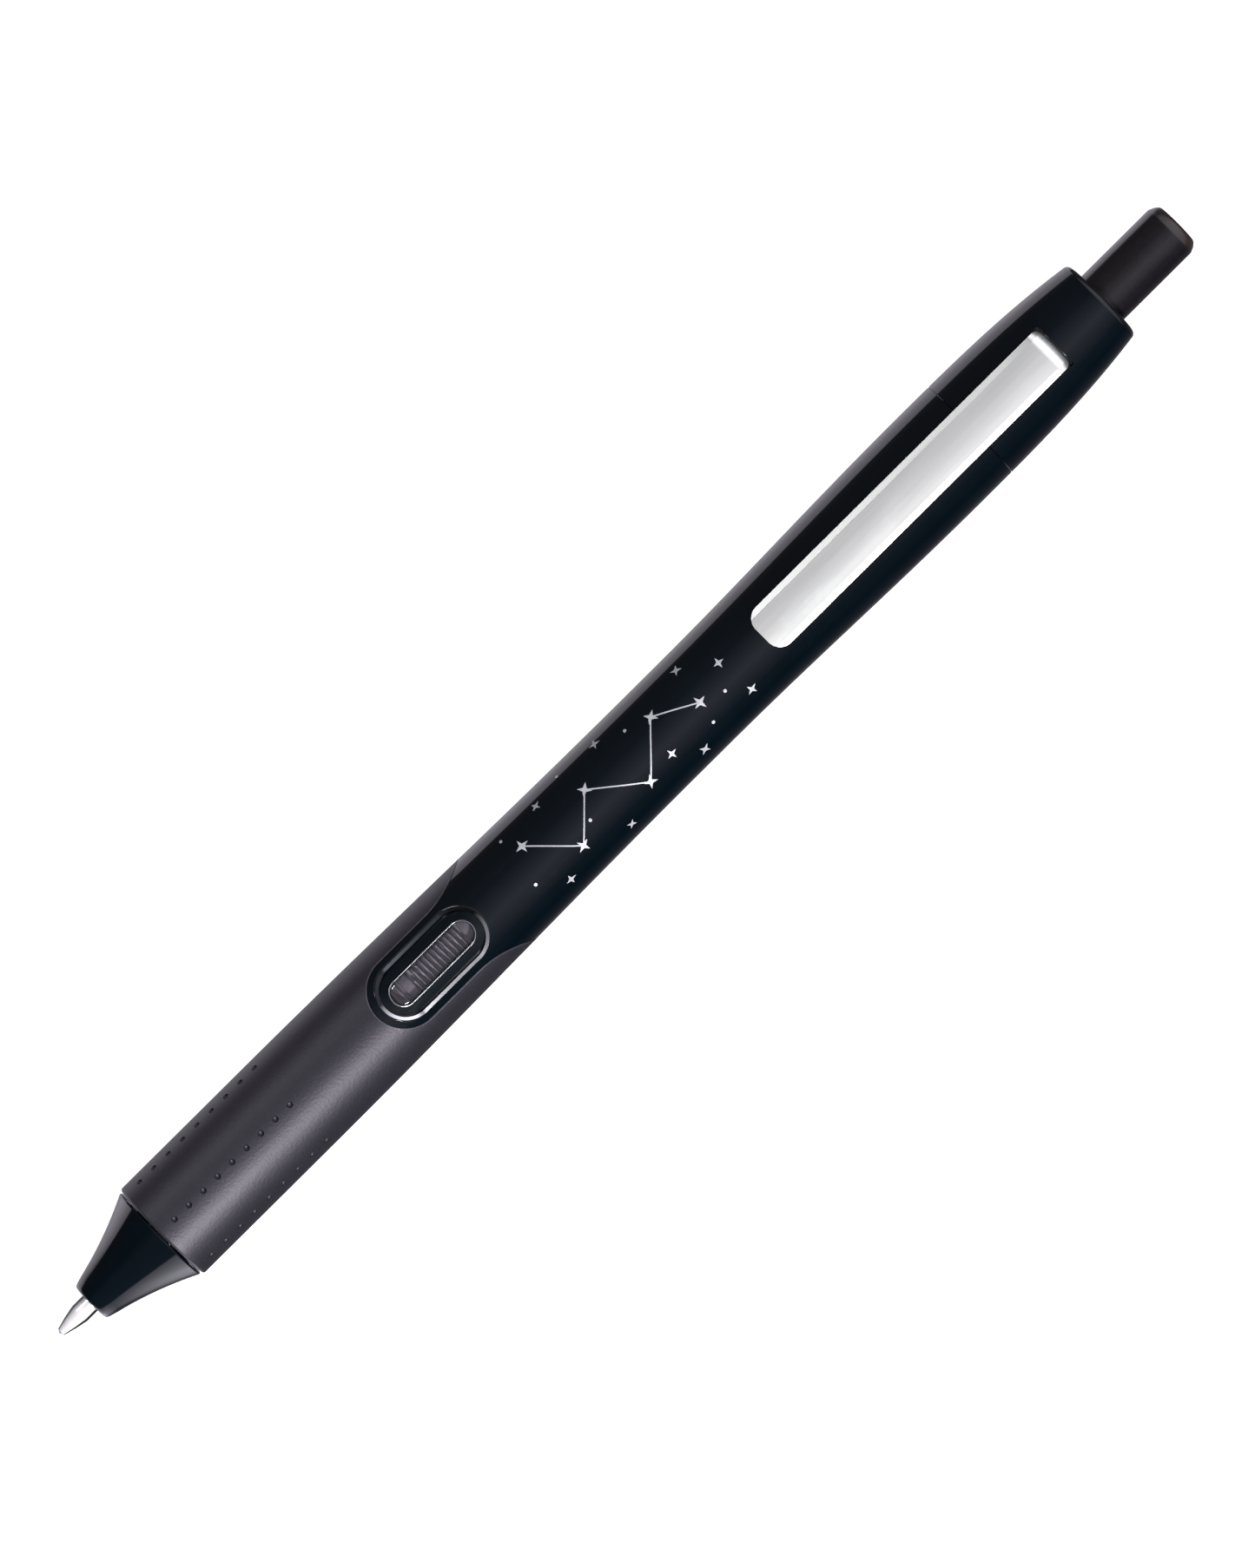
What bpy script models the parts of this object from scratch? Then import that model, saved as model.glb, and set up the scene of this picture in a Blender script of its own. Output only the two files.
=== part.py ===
"""A retractable gel pen, built from the separate pieces that it is put together from.

The pen lies along X with its writing ball at -X, its push button at +X and its pocket clip on top (+Z).
It rests on z = 0, and the origin is under its middle. Every turned piece is drawn in the pen's own frame:
a station is the distance in millimetres from the front of the writing ball, and a radius is measured from
the pen's axis. The tip is out, with the cam holding the refill forward and the return spring compressed.
"""

import math

import bmesh
import bpy

MM = 0.001

# Driving dimensions, in millimetres
LENGTH = 146.5  # writing ball to button, with the tip out
GRIP_RADIUS = 5.5
WAIST_RADIUS = 5.0
SHOULDER_RADIUS = 5.55
STROKE = 5.5  # how far the refill and the button come back when the tip is in
FIT = 0.05  # radial gap between pieces that are fixed together
RUN = 0.12  # radial gap between pieces that slide
OUTER_STEPS = 40  # flats round the pen's outside
INNER_STEPS = 24  # and round the turned pieces inside it

# Stations along the pen
NOSE_FRONT = 4.1
GRIP_FRONT = 13.45
GRIP_TAPER = 30.0  # the grip starts to narrow towards the waist
WAIST_FRONT = 79.0
WAIST_REAR = 83.0
SHOULDER = 115.5
SEAM = 119.3  # the end cap meets the barrel
CAP_REAR = 136.6
FLOOR_TO_AXIS = SHOULDER_RADIUS * math.cos(math.pi / OUTER_STEPS)  # the lowest flat is on the floor

# Grip and the tongue of the barrel that runs into it
CORE_RADIUS = 4.6  # the barrel under the grip
TONGUE_FRONT = 41.9
TONGUE_HALF_WIDTH = 3.45
FLARE_FRONT = 51.5
FLARE_REAR = 58.0
FLARE_WIDTH = 2.1
SIDE_STATION = 57.6  # the grip's rear edge at the pen's sides
BACK_STATION = 61.0  # the grip's rear edge under the pen
DIMPLE_ROWS = 6
DIMPLES_PER_ROW = 9
DIMPLE_FIRST = 15.35
DIMPLE_PITCH = 1.88
DIMPLE_RADIUS = 0.38
DIMPLE_FLOOR_RADIUS = 0.16
DIMPLE_DEPTH = 0.28

# Window over the return spring
DISH_MIDDLE = 48.95
DISH_HALF_LENGTH = 6.35
DISH_HALF_WIDTH = 2.9
DISH_FLOOR_RADIUS = 4.75
WINDOW_MIDDLE = 49.0
WINDOW_HALF_LENGTH = 5.0
WINDOW_HALF_WIDTH = 1.24
LENS_PROUD = 0.15

# Refill
BALL_RADIUS = 0.35
TIP_RADIUS = 1.0
TUBE_RADIUS = 3.0
TUBE_BORE = 2.5
TUBE_FRONT = 15.1
TUBE_REAR = 109.0
INK_REAR = 84.0
FOLLOWER_REAR = 90.0
PLUG_REAR = 112.4

# Return spring, between its seat in the barrel and the collar on the refill
SPRING_BORE = 3.9  # barrel bore behind the seat
SEAT_FRONT = 43.5
SEAT_REAR = 46.4
COLLAR_FRONT = 52.9
COLLAR_REAR = 55.5
SPRING_RADIUS = 3.42
SPRING_WIRE = 0.3
SPRING_TURNS = 11.5

# Cam mechanism
LOBES = 3
CAM_OUTER = 3.65
CAM_BORE = 3.25
CAM_TOOTH_BORE = 2.6
CAM_FRONT = 117.0
TOOTH_FRONT = 122.6
TOOTH_REAR = 129.5
TOOTH_WIDTH = math.radians(50)
GUIDE_REAR = 125.2  # the plunger's guides slide in the sleeve's grooves
GROOVE_REAR = GUIDE_REAR + STROKE + 0.1
RIB_RADIUS = 3.1
RIB_WIDTH = math.radians(18)
RIB_AT_REST = math.radians(35)  # just beside a tooth, where the groove starts
ROTOR_REAR = 122.3
CROWN_TEETH = 6
CROWN_HEIGHT = 0.7

# Button
BUTTON_RADIUS = 2.83
BUTTON_FRONT = 131.0

# Clip
CLIP_FRONT = 92.0
CLIP_REAR = 130.15
CLIP_HALF_WIDTH = 2.32
CLIP_SHEET = 0.55
CLIP_TOP_FRONT = 6.5  # height of its top face over the axis at the free end
CLIP_TOP_REAR = 6.8
CLIP_BEND = 1.5  # outer radius of the bend into the cap
CLIP_HOOK_LOW = 3.78
CLIP_HINGE_STATION = 129.9
CLIP_HINGE_HEIGHT = 5.0
PAD_STATION = 96.0

COIL_POINTS = 12  # points in one turn of the return spring


def clear_scene():
    for thing in list(bpy.data.objects):
        bpy.data.objects.remove(thing, do_unlink=True)


def collection(name):
    made = bpy.data.collections.new(name)
    bpy.context.scene.collection.children.link(made)
    return made


def material(name, colour, roughness, metallic=0.0, transmission=0.0):
    made = bpy.data.materials.new(name)
    made.use_nodes = True
    shader = made.node_tree.nodes["Principled BSDF"]
    shader.inputs["Base Color"].default_value = (*colour, 1.0)
    shader.inputs["Roughness"].default_value = roughness
    shader.inputs["Metallic"].default_value = metallic
    shader.inputs["Transmission Weight"].default_value = transmission
    made.diffuse_color = (*colour, 1.0)
    return made


def ease(share):
    """A smooth step from 0 to 1."""
    return 0.5 - 0.5 * math.cos(math.pi * min(1.0, max(0.0, share)))


def body_radius(station):
    """The pen's outside: a straight grip, a soft waist, a shoulder, and an end that rounds in."""
    if station < WAIST_REAR:
        share = (station - GRIP_TAPER) / (WAIST_FRONT - GRIP_TAPER)
        return GRIP_RADIUS + (WAIST_RADIUS - GRIP_RADIUS) * ease(share)
    if station < SHOULDER:
        share = (station - WAIST_REAR) / (SHOULDER - WAIST_REAR)
        return WAIST_RADIUS + (SHOULDER_RADIUS - WAIST_RADIUS) * ease(share)
    share = (station - SHOULDER) / (CAP_REAR - SHOULDER)
    return SHOULDER_RADIUS - 1.08 * share**2.9


def nose_radius(station):
    """The nose cone flares from the tip hole towards the grip."""
    share = (station - NOSE_FRONT) / (GRIP_FRONT - NOSE_FRONT)
    return 2.15 + 1.85 * share + 1.42 * share**2


def body_stations(front, rear, step):
    count = max(1, round((rear - front) / step))
    return [front + (rear - front) * n / count for n in range(count + 1)]


def link(thing, group, parent=None):
    group.objects.link(thing)
    thing.parent = parent
    return thing


def turned(name, group, parent, outer, bore=None, steps=INNER_STEPS):
    """A turned solid. Both profiles list (station, radius) from the front to the rear. The profile starts
    half a step round, so that a flat faces down and not an edge."""
    loop = [(radius, station) for station, radius in reversed(outer)]
    if bore is None:
        loop = [(0.0, outer[-1][0])] + loop + [(0.0, outer[0][0])]
    else:
        loop += [(radius, station) for station, radius in bore]
    edges = [(n, n + 1) for n in range(len(loop) - 1)]
    if bore is not None:
        edges.append((len(loop) - 1, 0))
    mesh = bpy.data.meshes.new(name)
    start = math.pi / steps
    points = [(radius * math.cos(start), radius * math.sin(start), station) for radius, station in loop]
    mesh.from_pydata([[n * MM for n in point] for point in points], edges, [])
    thing = link(bpy.data.objects.new(name, mesh), group, parent)
    screw = thing.modifiers.new("Turn", "SCREW")
    screw.axis = "Z"
    screw.angle = 2 * math.pi
    screw.steps = steps
    screw.render_steps = steps
    screw.use_merge_vertices = True
    screw.merge_threshold = 0.000001
    screw.use_smooth_shade = True
    return thing


def sector(name, group, parent, radii, stations, middle, width, front_ramp=0.0, rear_ramp=0.0):
    """A block bent round the axis. A ramp moves its front or rear end along as the angle grows."""
    shape = bmesh.new()
    bmesh.ops.create_cube(shape, size=1.0)
    along = [e for e in shape.edges if abs(e.verts[0].co.y - e.verts[1].co.y) > 0.5]
    bmesh.ops.subdivide_edges(shape, edges=along, cuts=3, use_grid_fill=True)
    for vert in shape.verts:
        share = vert.co.y + 0.5
        angle = middle + (share - 0.5) * width
        radius = radii[0] if vert.co.x < 0 else radii[1]
        station = stations[0] + front_ramp * share if vert.co.z < 0 else stations[1] + rear_ramp * share
        vert.co = (radius * math.cos(angle) * MM, radius * math.sin(angle) * MM, station * MM)
    mesh = bpy.data.meshes.new(name)
    shape.to_mesh(mesh)
    shape.free()
    return link(bpy.data.objects.new(name, mesh), group, parent)


def prism(name, group, outline, low, high, turn=(0.0, 0.0, 0.0), height=FLOOR_TO_AXIS):
    """A flat outline given a thickness, as a mesh. Points are in millimetres in the outline's own plane,
    low and high are along its normal, and turn lays the plane in the pen."""
    curve = bpy.data.curves.new(name, "CURVE")
    curve.dimensions = "2D"
    curve.fill_mode = "BOTH"
    curve.extrude = (high - low) / 2 * MM
    spline = curve.splines.new("POLY")
    spline.points.add(len(outline) - 1)
    for point, (x, y) in zip(spline.points, outline):
        point.co = (x * MM, y * MM, 0.0, 1.0)
    spline.use_cyclic_u = True
    flat = link(bpy.data.objects.new(name, curve), group)
    flat.rotation_euler = turn
    bpy.context.view_layer.update()
    normal = flat.matrix_world.to_3x3().col[2]
    flat.location = normal * ((low + high) / 2 * MM)
    flat.location.z += height * MM
    bpy.context.view_layer.update()
    graph = bpy.context.evaluated_depsgraph_get()
    mesh = bpy.data.meshes.new_from_object(flat.evaluated_get(graph))
    shape = bmesh.new()
    shape.from_mesh(mesh)
    bmesh.ops.remove_doubles(shape, verts=shape.verts, dist=0.000001)
    shape.to_mesh(mesh)
    shape.free()
    solid = link(bpy.data.objects.new(name, mesh), group)
    solid.matrix_world = flat.matrix_world
    bpy.data.objects.remove(flat)
    solid.name = name
    return solid


def coil(name, group, parent, radius, wire, front, rear, turns, points_per_turn):
    """A round wire wound round the axis."""
    curve = bpy.data.curves.new(name, "CURVE")
    curve.dimensions = "3D"
    curve.bevel_depth = wire / 2 * MM
    curve.bevel_resolution = 2
    curve.use_fill_caps = True
    count = round(turns * points_per_turn)
    spline = curve.splines.new("POLY")
    spline.points.add(count)
    for n, point in enumerate(spline.points):
        angle = 2 * math.pi * turns * n / count
        station = front + (rear - front) * n / count
        point.co = (radius * math.cos(angle) * MM, radius * math.sin(angle) * MM, station * MM, 1.0)
    return link(bpy.data.objects.new(name, curve), group, parent)


def boolean(target, tool, operation):
    modifier = target.modifiers.new(f"{operation.title()} {tool.name}", "BOOLEAN")
    modifier.operation = operation
    modifier.object = tool
    modifier.solver = "EXACT"


def cut(target, *tools):
    for tool in tools:
        boolean(target, tool, "DIFFERENCE")


def join(target, *tools):
    for tool in tools:
        boolean(target, tool, "UNION")


def paint(thing, finish):
    thing.data.materials.clear()
    thing.data.materials.append(finish)
    return thing


def world_x(station):
    """Where a station is along the pen, in millimetres from the origin."""
    return station - LENGTH / 2


def arc(middle_x, middle_y, radius, start, end, count):
    """Points on a round stretch of an outline. Angles are in degrees."""
    angles = [math.radians(start + (end - start) * n / count) for n in range(count + 1)]
    return [(middle_x + radius * math.cos(a), middle_y + radius * math.sin(a)) for a in angles]


def stadium(middle, half_length, half_width, count=12):
    x = world_x(middle)
    reach = half_length - half_width
    return arc(x + reach, 0.0, half_width, -90, 90, count) + arc(x - reach, 0.0, half_width, 90, 270, count)


def tongue_outline(gap):
    """Seen from above, the part of the barrel that isn't covered by the grip: a round-ended tongue that
    flares out to the pen's sides."""
    half = TONGUE_HALF_WIDTH + gap
    nose = arc(world_x(TONGUE_FRONT) + TONGUE_HALF_WIDTH, 0.0, half, 90, 270, 16)
    flare = []
    for n in range(9):
        share = n / 8
        station = FLARE_FRONT + (FLARE_REAR - FLARE_FRONT) * share
        flare.append((world_x(station), -half - FLARE_WIDTH * share**2))
    far = world_x(BACK_STATION + 4)
    corners = [(world_x(FLARE_REAR), -9.0), (far, -9.0), (far, 9.0), (world_x(FLARE_REAR), 9.0)]
    return nose + flare + corners + [(x, -y) for x, y in reversed(flare)]


def back_outline(gap):
    """Seen from below, the same: the grip ends in a low arch under the pen."""
    arch = []
    reach = BACK_STATION - SIDE_STATION
    for n in range(17):
        y = -5.2 + 10.4 * n / 16
        arch.append((world_x(SIDE_STATION + reach * math.cos(math.pi / 2 * y / 5.2)) - gap, y))
    far = world_x(BACK_STATION + 4)
    side = world_x(SIDE_STATION) - gap
    return [(side, -9.0)] + arch + [(side, 9.0), (far, 9.0), (far, -9.0)]


def barrel_share(group, name, gap):
    """Two cutters that between them hold what the grip leaves to the barrel."""
    top = prism(f"{name}_top", group, tongue_outline(gap), -0.001, 9.0)
    back = prism(f"{name}_back", group, back_outline(gap), -9.0, 0.001)
    return top, back


def make_barrel(parts, cutters, axis):
    outer = [(s, body_radius(s)) for s in body_stations(GRIP_FRONT, SHOULDER, 6.5) + [SEAM]]
    spigot = [(SEAM, 4.5), (120.2, 4.5), (120.4, 4.3)]
    for ridge in (121.2, 122.9):
        spigot += [(ridge - 0.2, 4.3), (ridge, 4.5), (ridge + 0.7, 4.5), (ridge + 0.9, 4.3)]
    spigot.append((125.2, 4.3))
    bore = [(GRIP_FRONT, 3.95), (21.5, 3.95), (21.5, 3.2), (SEAT_FRONT - 0.1, 3.2)]
    bore += [(SEAT_FRONT - 0.1, SPRING_BORE), (125.2, SPRING_BORE)]
    barrel = turned("front_barrel", parts, axis, outer + spigot, bore, OUTER_STEPS)

    outside = [(GRIP_FRONT - 1, 9.0), (BACK_STATION + 2, 9.0)]
    inside = [(GRIP_FRONT - 1, CORE_RADIUS), (BACK_STATION + 2, CORE_RADIUS)]
    pocket = turned("grip_pocket", cutters, axis, outside, inside, OUTER_STEPS)
    cut(pocket, *barrel_share(cutters, "barrel_share", 0.0))

    dish = prism("dish", cutters, stadium(DISH_MIDDLE, DISH_HALF_LENGTH, DISH_HALF_WIDTH), 3.0, 9.0)
    floor_ends = [(s, DISH_FLOOR_RADIUS) for s in (DISH_MIDDLE - 12, DISH_MIDDLE + 12)]
    cut(dish, turned("dish_floor", cutters, axis, floor_ends, None, OUTER_STEPS))
    opening = stadium(WINDOW_MIDDLE, WINDOW_HALF_LENGTH, WINDOW_HALF_WIDTH)
    window = prism("window", cutters, opening, 3.0, 9.0)
    cut(barrel, pocket, dish, window)
    return barrel


def make_lens(parts, cutters, axis):
    half_length = WINDOW_HALF_LENGTH - FIT
    outline = stadium(WINDOW_MIDDLE, half_length, WINDOW_HALF_WIDTH - FIT)
    lens = prism("window_lens", parts, outline, 3.2, 6.0)
    low, high = SPRING_BORE, DISH_FLOOR_RADIUS + LENS_PROUD
    ends = (WINDOW_MIDDLE - 8, WINDOW_MIDDLE + 8)
    faces = ([(s, radius) for s in ends] for radius in (high, low))
    shell = turned("lens_shell", cutters, axis, *faces, OUTER_STEPS)
    boolean(lens, shell, "INTERSECT")
    return lens


def dimple_mesh():
    """Every dimple of the grip: small round pits with a flat floor, in rows along the pen."""
    shape = bmesh.new()
    slope = (DIMPLE_RADIUS - DIMPLE_FLOOR_RADIUS) / DIMPLE_DEPTH
    for row in range(DIMPLE_ROWS):
        angle = 2 * math.pi * row / DIMPLE_ROWS
        for n in range(DIMPLES_PER_ROW):
            made = bmesh.ops.create_cone(
                shape, cap_ends=True, segments=8, radius1=DIMPLE_FLOOR_RADIUS * MM,
                radius2=(DIMPLE_FLOOR_RADIUS + 2 * DIMPLE_DEPTH * slope) * MM, depth=2 * DIMPLE_DEPTH * MM,
            )
            station = DIMPLE_FIRST + DIMPLE_PITCH * n
            for vert in made["verts"]:
                x, y, z = vert.co
                out = GRIP_RADIUS * MM + z
                vert.co = (
                    out * math.cos(angle) - y * math.sin(angle),
                    out * math.sin(angle) + y * math.cos(angle),
                    station * MM + x,
                )
    bmesh.ops.recalc_face_normals(shape, faces=shape.faces)
    mesh = bpy.data.meshes.new("dimples")
    shape.to_mesh(mesh)
    shape.free()
    return mesh


def make_grip(parts, cutters, axis):
    outer = [(GRIP_FRONT, GRIP_RADIUS - 0.2), (GRIP_FRONT + 0.2, GRIP_RADIUS)]
    outer += [(s, body_radius(s)) for s in body_stations(GRIP_TAPER, BACK_STATION + 1, 5.3)]
    bore = [(GRIP_FRONT, CORE_RADIUS + FIT), (BACK_STATION + 1, CORE_RADIUS + FIT)]
    grip = turned("grip_sleeve", parts, axis, outer, bore, OUTER_STEPS)
    dimples = link(bpy.data.objects.new("dimples", dimple_mesh()), cutters, axis)
    cut(grip, dimples, *barrel_share(cutters, "grip_share", FIT))
    return grip


def make_nose(parts, axis):
    outer = [(NOSE_FRONT, 1.75), (NOSE_FRONT + 0.1, 1.98), (NOSE_FRONT + 0.35, 2.16)]
    outer += [(s, nose_radius(s)) for s in body_stations(5.8, 13.3, 1.5)]
    thread = [(13.3, 3.65)]
    for n in range(3):
        crest = 14.6 + 2.2 * n
        thread += [(crest, 3.65), (crest + 0.25, 3.87), (crest + 0.75, 3.87), (crest + 1.0, 3.65)]
    thread.append((21.2, 3.65))
    bore = [(NOSE_FRONT, TIP_RADIUS + RUN), (5.9, TIP_RADIUS + RUN), (6.1, 1.5), (6.9, 1.75), (10.4, 2.2)]
    bore += [(11.5, TUBE_RADIUS + RUN), (21.2, TUBE_RADIUS + RUN)]
    return turned("nose_cone", parts, axis, outer + thread, bore, OUTER_STEPS)


def make_cap(parts, cutters, axis):
    outer = [(s, body_radius(s)) for s in body_stations(SEAM + 0.12, CAP_REAR - 0.6, 2.5)]
    round_end = body_radius(CAP_REAR - 0.6)
    outer += [(CAP_REAR - 0.25, round_end - 0.15), (CAP_REAR - 0.05, round_end - 0.4)]
    outer.append((CAP_REAR, round_end - 0.6))
    hole = BUTTON_RADIUS + RUN
    bore = [(SEAM + 0.12, 4.6), (126.2, 4.6), (126.2, 4.35), (134.0, 4.35), (134.0, hole)]
    bore += [(CAP_REAR - 0.25, hole), (CAP_REAR, hole + 0.25)]
    cap = turned("end_cap", parts, axis, outer, bore, OUTER_STEPS)
    front, rear = world_x(CLIP_REAR - CLIP_SHEET - 0.2), world_x(CLIP_REAR + 0.2)
    side = CLIP_HALF_WIDTH + 0.13
    corners = [(front, -side), (rear, -side), (rear, side), (front, side)]
    slot = prism("clip_slot", cutters, corners, 2.5, 9.0)
    cut(cap, slot)
    return cap


def make_refill(parts, cutters, axis, ball_centre):
    """The refill: point, ball, holder, tube, ink, follower, tail plug and the collar for the spring."""
    point_outer = [(0.2, 0.4), (2.6, TIP_RADIUS), (7.4, TIP_RADIUS), (7.4, 1.3), (8.2, 1.3), (8.2, 0.95)]
    point_bore = [(0.2, 0.345), (0.35, 0.385), (0.7, 0.36), (0.76, 0.2), (2.0, 0.2), (2.2, 0.5)]
    point_outer.append((11.5, 0.95))
    point_bore.append((11.5, 0.5))
    point = turned("tip_point", parts, axis, point_outer, point_bore, 24)

    mesh = bpy.data.meshes.new("writing_ball")
    shape = bmesh.new()
    bmesh.ops.create_uvsphere(shape, u_segments=16, v_segments=10, radius=BALL_RADIUS * MM)
    shape.to_mesh(mesh)
    shape.free()
    ball = link(bpy.data.objects.new("writing_ball", mesh), parts, ball_centre)

    spring = coil("tip_spring", parts, axis, 0.33, 0.12, 2.5, 10.5, 7, 8)

    holder_outer = [(8.3, 1.45), (9.3, 1.6), (12.0, 1.9), (13.0, 2.9), (15.0, 2.9), (15.0, 2.4), (19.0, 2.3)]
    holder_bore = [(8.3, 1.0), (11.7, 1.0), (11.7, 0.7), (19.0, 0.7)]
    holder = turned("tip_holder", parts, axis, holder_outer, holder_bore, 24)

    ends = (TUBE_FRONT, TUBE_REAR)
    walls = ([(s, radius) for s in ends] for radius in (TUBE_RADIUS, TUBE_BORE))
    tube = turned("refill_tube", parts, axis, *walls)
    fill = TUBE_BORE - FIT
    ink = turned("ink_column", parts, axis, [(19.2, fill), (INK_REAR, fill)])
    follower = turned("ink_follower", parts, axis, [(INK_REAR + 0.05, fill), (FOLLOWER_REAR, fill)])
    head = TUBE_REAR + 0.1
    plug_outer = [(104.0, 2.3), (head, 2.4), (head, TUBE_RADIUS), (PLUG_REAR, TUBE_RADIUS)]
    plug = turned("tail_plug", parts, axis, plug_outer, [(104.0, 0.5), (PLUG_REAR, 0.5)])
    collar_outer = [(COLLAR_FRONT, 3.65), (54.6, 3.65), (COLLAR_REAR, 3.3)]
    collar_bore = [(COLLAR_FRONT, TUBE_RADIUS + FIT), (COLLAR_REAR, TUBE_RADIUS + FIT)]
    collar = turned("spring_collar", parts, axis, collar_outer, collar_bore)
    return point, ball, spring, holder, tube, ink, follower, plug, collar


def make_spring_and_seat(parts, axis):
    gap = 0.02
    front = SEAT_REAR + SPRING_WIRE / 2 + gap
    rear = COLLAR_FRONT - SPRING_WIRE / 2 - gap
    spring = coil(
        "return_spring", parts, axis, SPRING_RADIUS, SPRING_WIRE, front, rear, SPRING_TURNS, COIL_POINTS
    )
    outer = []
    for ring_front, ring_rear in ((SEAT_FRONT, 43.75), (44.1, 44.42), (44.75, 45.07), (45.4, SEAT_REAR)):
        outer += [(ring_front, 3.35), (ring_front, 3.8), (ring_rear, 3.8), (ring_rear, 3.35)]
    bore = [(SEAT_FRONT, TUBE_RADIUS + RUN), (SEAT_REAR, TUBE_RADIUS + RUN)]
    seat = turned("spring_seat", parts, axis, outer[1:-1], bore)
    return spring, seat


def make_cam_sleeve(parts, cutters, axis):
    outer = [(CAM_FRONT, CAM_OUTER), (125.35, CAM_OUTER), (125.35, 4.5), (126.1, 4.5), (126.1, CAM_OUTER)]
    outer.append((133.9, CAM_OUTER))
    pass_button = BUTTON_RADIUS + RUN
    bore = [(CAM_FRONT, CAM_BORE), (GROOVE_REAR, CAM_BORE), (GROOVE_REAR, pass_button), (133.9, pass_button)]
    sleeve = turned("cam_sleeve", parts, axis, outer, bore)
    for lobe in range(LOBES):
        tooth = sector(
            f"sleeve_tooth_{lobe}", cutters, axis, (CAM_TOOTH_BORE, CAM_OUTER - 0.2),
            (TOOTH_FRONT, TOOTH_REAR), 2 * math.pi * lobe / LOBES, TOOTH_WIDTH, front_ramp=1.2,
        )
        join(sleeve, tooth)
    return sleeve


def make_rotor(parts, cutters, axis):
    base = ROTOR_REAR - CROWN_HEIGHT
    outer = [(PLUG_REAR + 0.1, 2.6), (113.6, 2.6), (113.6, 2.2), (119.4, 2.2), (119.6, 2.45), (base, 2.45)]
    outer += [(base, 1.2), (126.2, 1.2), (126.5, 0.9)]
    rotor = turned("cam_rotor", parts, axis, outer)
    for lobe in range(LOBES):
        middle = RIB_AT_REST + 2 * math.pi * lobe / LOBES
        rib = sector(
            f"rotor_rib_{lobe}", cutters, axis, (1.6, RIB_RADIUS),
            (117.8, ROTOR_REAR - 0.4), middle, RIB_WIDTH, rear_ramp=0.35,
        )
        join(rotor, rib)
    crown = crown_teeth("rotor_tooth", cutters, axis, (0.9, 2.35), (base - 0.4, base), 0.0, CROWN_HEIGHT)
    join(rotor, *crown)
    return rotor


def crown_teeth(name, group, axis, radii, stations, front_ramp, rear_ramp):
    """A ring of saw teeth, each a little narrower than its share of the circle."""
    width = 0.86 * 2 * math.pi / CROWN_TEETH
    return [
        sector(
            f"{name}_{n}", group, axis, radii, stations, 2 * math.pi * n / CROWN_TEETH, width,
            front_ramp=front_ramp, rear_ramp=rear_ramp,
        )
        for n in range(CROWN_TEETH)
    ]


def make_plunger(parts, cutters, axis):
    base = ROTOR_REAR + 0.1 + CROWN_HEIGHT
    outer = [(base, 2.45), (BUTTON_FRONT - 0.1, 2.45), (BUTTON_FRONT - 0.1, 1.9), (141.0, 1.9)]
    bore = [(base, 1.4), (141.0, 1.4)]
    plunger = turned("cam_plunger", parts, axis, outer, bore)
    for lobe in range(LOBES):
        middle = math.radians(60) + 2 * math.pi * lobe / LOBES
        guide = sector(
            f"plunger_guide_{lobe}", cutters, axis, (1.8, RIB_RADIUS), (base + 0.1, GUIDE_REAR), middle,
            math.radians(30),
        )
        join(plunger, guide)
    stations = (base, base + 0.4)
    crown = crown_teeth("plunger_tooth", cutters, axis, (1.55, 2.35), stations, -CROWN_HEIGHT, 0.0)
    join(plunger, *crown)
    return plunger


def make_button(parts, axis):
    outer = [(BUTTON_FRONT, BUTTON_RADIUS), (LENGTH - 1.1, BUTTON_RADIUS), (LENGTH - 0.45, 2.6)]
    outer.append((LENGTH, 2.15))
    bore = [(BUTTON_FRONT, 1.95), (141.2, 1.95)]
    button = turned("push_button", parts, axis, outer + [(LENGTH, 0.0)], bore + [(141.2, 0.0)], OUTER_STEPS)
    return button


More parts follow.
